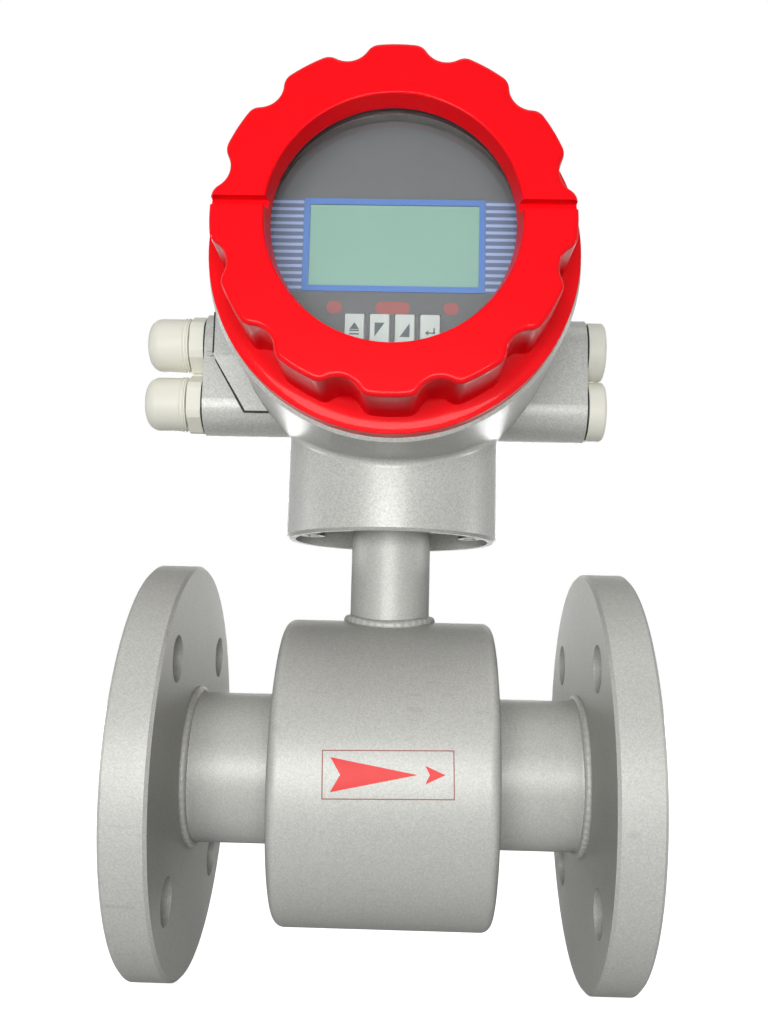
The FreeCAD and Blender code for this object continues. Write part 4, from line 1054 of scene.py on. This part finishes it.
@dataclass
class DisplayUnit(SubAssembly):
    """Display panel with its screen, printed stripes, lamps' marks and keys.

    Each lamp's mark has its place across, half its width and half its height. Print stands
    one film off its face and fills film_share of that.
    """

    panel_front: float = -90.0
    panel_radius: float = 46.0
    frame_half_width: float = 31.75
    frame_half_height: float = 16.85
    stripe_count: int = 13
    stripe_share: float = 0.4
    stripe_gap: float = 0.2
    mark_drop: float = 22.5
    lamp_marks: tuple[tuple[float, float, float], ...] = (
        (-20.3, 2.7, 2.2),
        (0.0, 6.0, 2.2),
        (20.3, 2.7, 2.2),
    )
    key_drop: float = 30.6
    key_pitch: float = 8.7
    key_front: float = -90.9
    film: float = 0.05
    film_share: float = 0.8
    mark_tip: float = 0.02

    def build(self) -> None:
        """Dress the display and print its bands, stripes, marks and key signs."""
        self.dress(PANEL_GREY, "display_panel")
        self.dress(FRAME_BLUE, "screen_frame")
        self.dress(SCREEN, "display_screen")
        self.dress(BOARD_GREEN, "display_board", "main_board")
        self.dress(STAINLESS, "panel_posts", "display_board_posts", "main_board_posts")
        self.dress(TERMINAL_GREEN, "terminal_strip")
        self.dress(ZINC, "terminal_screws")
        self.fit(self.bands(), "panel_bands", BAND_BLUE, "frame_blue", METER_BODY)
        self.fit(self.stripes(), "panel_stripes", STRIPE_BLUE, "frame_blue", METER_BODY)
        self.fit(self.marks(), "panel_marks", MARK_RED, "red_enamel", METER_BODY)
        for index, sign in enumerate(Sign):
            key = f"{sign.value}_key"
            self.dress(KEY_WHITE, key)
            centre = (index - 1.5) * self.key_pitch
            strips = [
                self.facing(strip, centre, -self.key_drop, self.key_front)
                for strip in KeySign().strips(sign)
            ]
            self.fit(Patch.joined(strips), f"{sign.value}_sign", SIGN_INK, "black_plastic", key)

    def facing(self, flat: np.ndarray, across: float, up: float, front: float) -> Patch:
        """Stand a flat grid of (across, up) places on a face that looks to the front.

        Args:
            flat: The grid.
            across: Where its centre lies along X.
            up: Where its centre lies above the head's axis.
            front: Y of the face that it is printed on.

        Returns:
            A thin sheet on that face.
        """
        x = flat[..., 0] + across
        z = flat[..., 1] + up + HEAD_AXIS
        top = np.stack([x, np.full_like(x, front - self.film), z], axis=-1)
        ahead = np.array([0.0, -1.0, 0.0])
        return slab(top, ahead, self.film * self.film_share)

    def bands(self) -> Patch:
        """Flat bands between the screen's frame and the round edge of the panel.

        Returns:
            Both bands.
        """
        rise = np.linspace(-self.frame_half_height, self.frame_half_height, 40)
        reach = np.sqrt(self.panel_radius**2 - rise**2)
        sheets = []
        for side in Side:
            inner = np.stack([np.full_like(rise, side.value * self.frame_half_width), rise], axis=1)
            outer = np.stack([side.value * reach, rise], axis=1)
            sheets.append(self.facing(ruled(inner, outer), 0.0, 0.0, self.panel_front))
        return Patch.joined(sheets)

    def stripes(self) -> Patch:
        """Level stripes from the screen's frame out to the round edge of the panel.

        Returns:
            All the stripes.
        """
        pitch = 2.0 * self.frame_half_height / self.stripe_count
        level = (np.arange(self.stripe_count) - (self.stripe_count - 1) / 2.0) * pitch
        half = pitch * self.stripe_share / 2.0
        over = self.panel_front - self.film
        sheets = []
        for middle in level:
            reach = math.sqrt(self.panel_radius**2 - (abs(middle) + half) ** 2)
            for side in Side:
                near = side.value * (self.frame_half_width + self.stripe_gap)
                far, bottom, top = side.value * reach, middle - half, middle + half
                flat = strip(((near, bottom), (far, bottom), (near, top), (far, top)), 6)
                sheets.append(self.facing(flat, 0.0, 0.0, over))
        return Patch.joined(sheets)

    def marks(self) -> Patch:
        """Three dull lamps' marks: stadium outlines ruled from bottom to top.

        Returns:
            All the marks.
        """
        sheets = []
        for across, half_width, half_height in self.lamp_marks:
            turn = np.linspace(-0.5 * math.pi, 0.5 * math.pi, 33)
            bend = half_width - half_height
            x = np.sign(turn) * bend + half_height * np.sin(turn)
            x = np.where(np.abs(turn) < 1e-9, 0.0, x)
            rise = half_height * np.cos(turn) + self.mark_tip
            flat = ruled(np.stack([x, -rise], axis=1), np.stack([x, rise], axis=1))
            sheets.append(self.facing(flat, across, -self.mark_drop, self.panel_front))
        return Patch.joined(sheets)


@dataclass
class EntryFittings(SubAssembly):
    """Cable gland on the left and blanking plug on the right at one level.

    Each thread has its radius, where it starts and where it ends.
    """

    level: Level
    heights: tuple[float, float] = (179.1, 152.9)
    pitch: float = 1.5
    nut_radius: float = 11.45
    nut_rings: tuple[float, ...] = (-89.7, -91.1)
    ring_radius: float = 0.42
    gland_thread: tuple[float, float, float] = (8.5, -97.2, -88.6)
    plug_thread: tuple[float, float, float] = (9.7, 71.0, 81.2)

    def build(self) -> None:
        """Dress the gland and the plug with their seals, and cut their threads and rings."""
        name = self.level.value
        height = self.heights[list(Level).index(self.level)]
        rings = Patch.joined([self.nut_ring(place, height) for place in self.nut_rings])
        self.fit(rings, f"{name}_gland_rings", IVORY, "ivory", f"{name}_gland_nut")
        gland = self.thread(self.gland_thread, height)
        self.fit(gland, f"{name}_gland_thread", IVORY, "ivory", METER_BODY)
        plug = self.thread(self.plug_thread, height)
        self.fit(plug, f"{name}_plug_thread", IVORY, "ivory", f"{name}_plug")
        self.dress(IVORY, f"{name}_gland_body", f"{name}_gland_nut", f"{name}_plug")
        self.dress(
            RUBBER, f"{name}_gland_washer", f"{name}_gland_insert", f"{name}_plug_washer"
        )

    def thread(self, measures: tuple[float, float, float], height: float) -> Patch:
        """A thread along X.

        Args:
            measures: Its radius, start and end.
            height: Height of its axis above the bore.

        Returns:
            The thread.
        """
        radius, start, end = measures
        return Thread(radius, self.pitch, start, end).along_x(height)

    def nut_ring(self, place: float, height: float) -> Patch:
        """A thin torus round the gland nut's barrel.

        Args:
            place: Where it lies along X.
            height: Height of its axis above the bore.

        Returns:
            The ring.
        """
        along, across = around(96)[:, None], around(10)[None, :]
        reach = self.nut_radius + self.ring_radius * np.cos(across)
        x = place + self.ring_radius * np.sin(across) + 0.0 * along
        y, z = reach * np.cos(along), height + reach * np.sin(along)
        return closed_tube(np.stack(np.broadcast_arrays(x, y, z), axis=2))


# ------------------------------------------------------------------ studio


@dataclass(frozen=True)
class Lamp:
    """A soft rectangular lamp: its place and size in metres and its power in watts."""

    name: str
    place: tuple[float, float, float]
    size: tuple[float, float]
    power: float


@dataclass
class Studio:
    """Pale floor, soft lamps, white surroundings and the camera."""

    lamps: tuple[Lamp, ...] = (
        Lamp("key_lamp", (-0.06, -0.8, 0.02), (0.5, 0.4), 7.1),
        Lamp("high_lamp", (0.2, -0.6, 1.8), (1.6, 1.0), 6.0),
        Lamp("rear_lamp", (0.0, 1.8, 0.45), (1.2, 0.9), 24.0),
        Lamp("left_lamp", (-2.4, 0.3, 0.0), (0.5, 0.4), 12.0),
        Lamp("right_lamp", (2.4, 0.3, 0.0), (0.5, 0.4), 12.0),
    )
    aim: tuple[float, float, float] = (0.0, 0.0, 0.08)
    floor_reach: float = 40000.0
    floor_height: float = -82.6
    focal_length: float = 36.65
    sensor: float = 36.0
    camera_place: tuple[float, float, float] = (6.755, -441.086, 49.604)
    camera_yaw: float = 0.023
    camera_pitch: float = 0.131
    camera_roll: float = -0.024
    surround: float = 0.06
    floor_shown: float = 0.8
    floor_bounce: float = 0.1

    def build(self) -> None:
        """Set the stage round the meter."""
        scene = bpy.context.scene
        scene.view_settings.view_transform = "Standard"
        self.floor()
        self.world()
        for lamp in self.lamps:
            self.hang(lamp)
        self.camera()

    def floor(self) -> None:
        """A wide flat floor that shows white to the camera and keeps the shadow."""
        reach = self.floor_reach
        edge = np.array([[-reach, -reach], [reach, -reach]])
        far = np.array([[-reach, reach], [reach, reach]])
        flat = ruled(edge, far)
        level = np.full(flat.shape[:2] + (1,), self.floor_height)
        points = np.concatenate([flat, level], axis=2)
        patch = Patch(points.reshape(-1, 3), grid_faces(2, 2, False, False))
        floor = patch.as_object("floor")
        material = bpy.data.materials.new("studio_floor")
        material.use_nodes = True
        tree = ShaderTree(material.node_tree)
        shade = tree.spread(self.seen(tree), self.floor_bounce, self.floor_shown)
        matt = tree.add("ShaderNodeBsdfDiffuse", {"Color": shade})
        glow = tree.add("ShaderNodeEmission", {"Color": (1.0, 1.0, 1.0, 1.0)})
        rest = 1.0 - self.floor_shown * self.surround
        tree.feed(glow.inputs["Strength"], tree.maths("MULTIPLY", self.seen(tree), rest))
        both = tree.add("ShaderNodeAddShader")
        tree.feed(both.inputs[0], matt.outputs["BSDF"])
        tree.feed(both.inputs[1], glow.outputs["Emission"])
        tree.add("ShaderNodeOutputMaterial", {"Surface": both.outputs["Shader"]})
        floor.data.materials.append(material)

    def seen(self, tree: ShaderTree) -> Socket:
        """Tell rays that see the background from the rest.

        Args:
            tree: The tree to lay it in.

        Returns:
            1 for rays from the camera, straight, by gloss or through glass, and 0 for the rest.
        """
        path = tree.add("ShaderNodeLightPath")
        total = tree.maths("MAXIMUM", path.outputs["Is Camera Ray"], path.outputs["Is Glossy Ray"])
        total = tree.maths("MAXIMUM", total, path.outputs["Is Transmission Ray"])
        first = tree.maths("LESS_THAN", path.outputs["Diffuse Depth"], 0.5)
        return tree.maths("MULTIPLY", total, first)

    def world(self) -> None:
        """White where it is seen, and a soft grey light elsewhere."""
        world = bpy.data.worlds.new("studio")
        world.use_nodes = True
        bpy.context.scene.world = world
        tree = ShaderTree(world.node_tree)
        strength = tree.spread(self.seen(tree), self.surround, 1.0)
        sky = tree.add("ShaderNodeBackground", {"Strength": strength})
        tree.feed(sky.inputs["Color"], (1.0, 1.0, 1.0, 1.0))
        tree.add("ShaderNodeOutputWorld", {"Surface": sky.outputs["Background"]})

    def hang(self, plan: Lamp) -> None:
        """Hang one lamp, turned to the meter's middle.

        Args:
            plan: The lamp.
        """
        data = bpy.data.lights.new(plan.name, "AREA")
        data.shape = "RECTANGLE"
        data.size, data.size_y = plan.size
        data.energy = plan.power
        lamp = bpy.data.objects.new(plan.name, data)
        bpy.context.scene.collection.objects.link(lamp)
        lamp.visible_transmission = False
        lamp.location = plan.place
        towards = Vector(self.aim) - Vector(plan.place)
        lamp.rotation_euler = towards.to_track_quat("-Z", "Y").to_euler()

    def camera(self) -> None:
        """The camera, turned by its yaw, pitch and roll from looking along +Y."""
        data = bpy.data.cameras.new("camera")
        data.lens, data.sensor_width = self.focal_length, self.sensor
        camera = bpy.data.objects.new("camera", data)
        bpy.context.scene.collection.objects.link(camera)
        yaw = Matrix.Rotation(self.camera_yaw, 4, "Z")
        pitch = Matrix.Rotation(self.camera_pitch, 4, "X")
        roll = Matrix.Rotation(self.camera_roll, 4, "Y")
        level = Matrix.Rotation(math.pi / 2.0, 4, "X")
        place = Matrix.Translation(Vector(self.camera_place) * MM)
        camera.matrix_world = place @ yaw @ pitch @ roll @ level
        bpy.context.scene.camera = camera


def main() -> None:
    """Build the looks of the meter, sub-assembly by sub-assembly."""
    logging.basicConfig(level=logging.INFO, format="%(name)s %(message)s")
    EffectShop().build()
    parts = [FlowTube(), CoilHousing(), Neck(), ConverterHead(), DisplayUnit()]
    parts += [EntryFittings(level) for level in Level]
    for part in parts:
        part.build()
        LOG.info("%s is done", type(part).__name__)
    Studio().build()


if __name__ == "__main__":
    main()
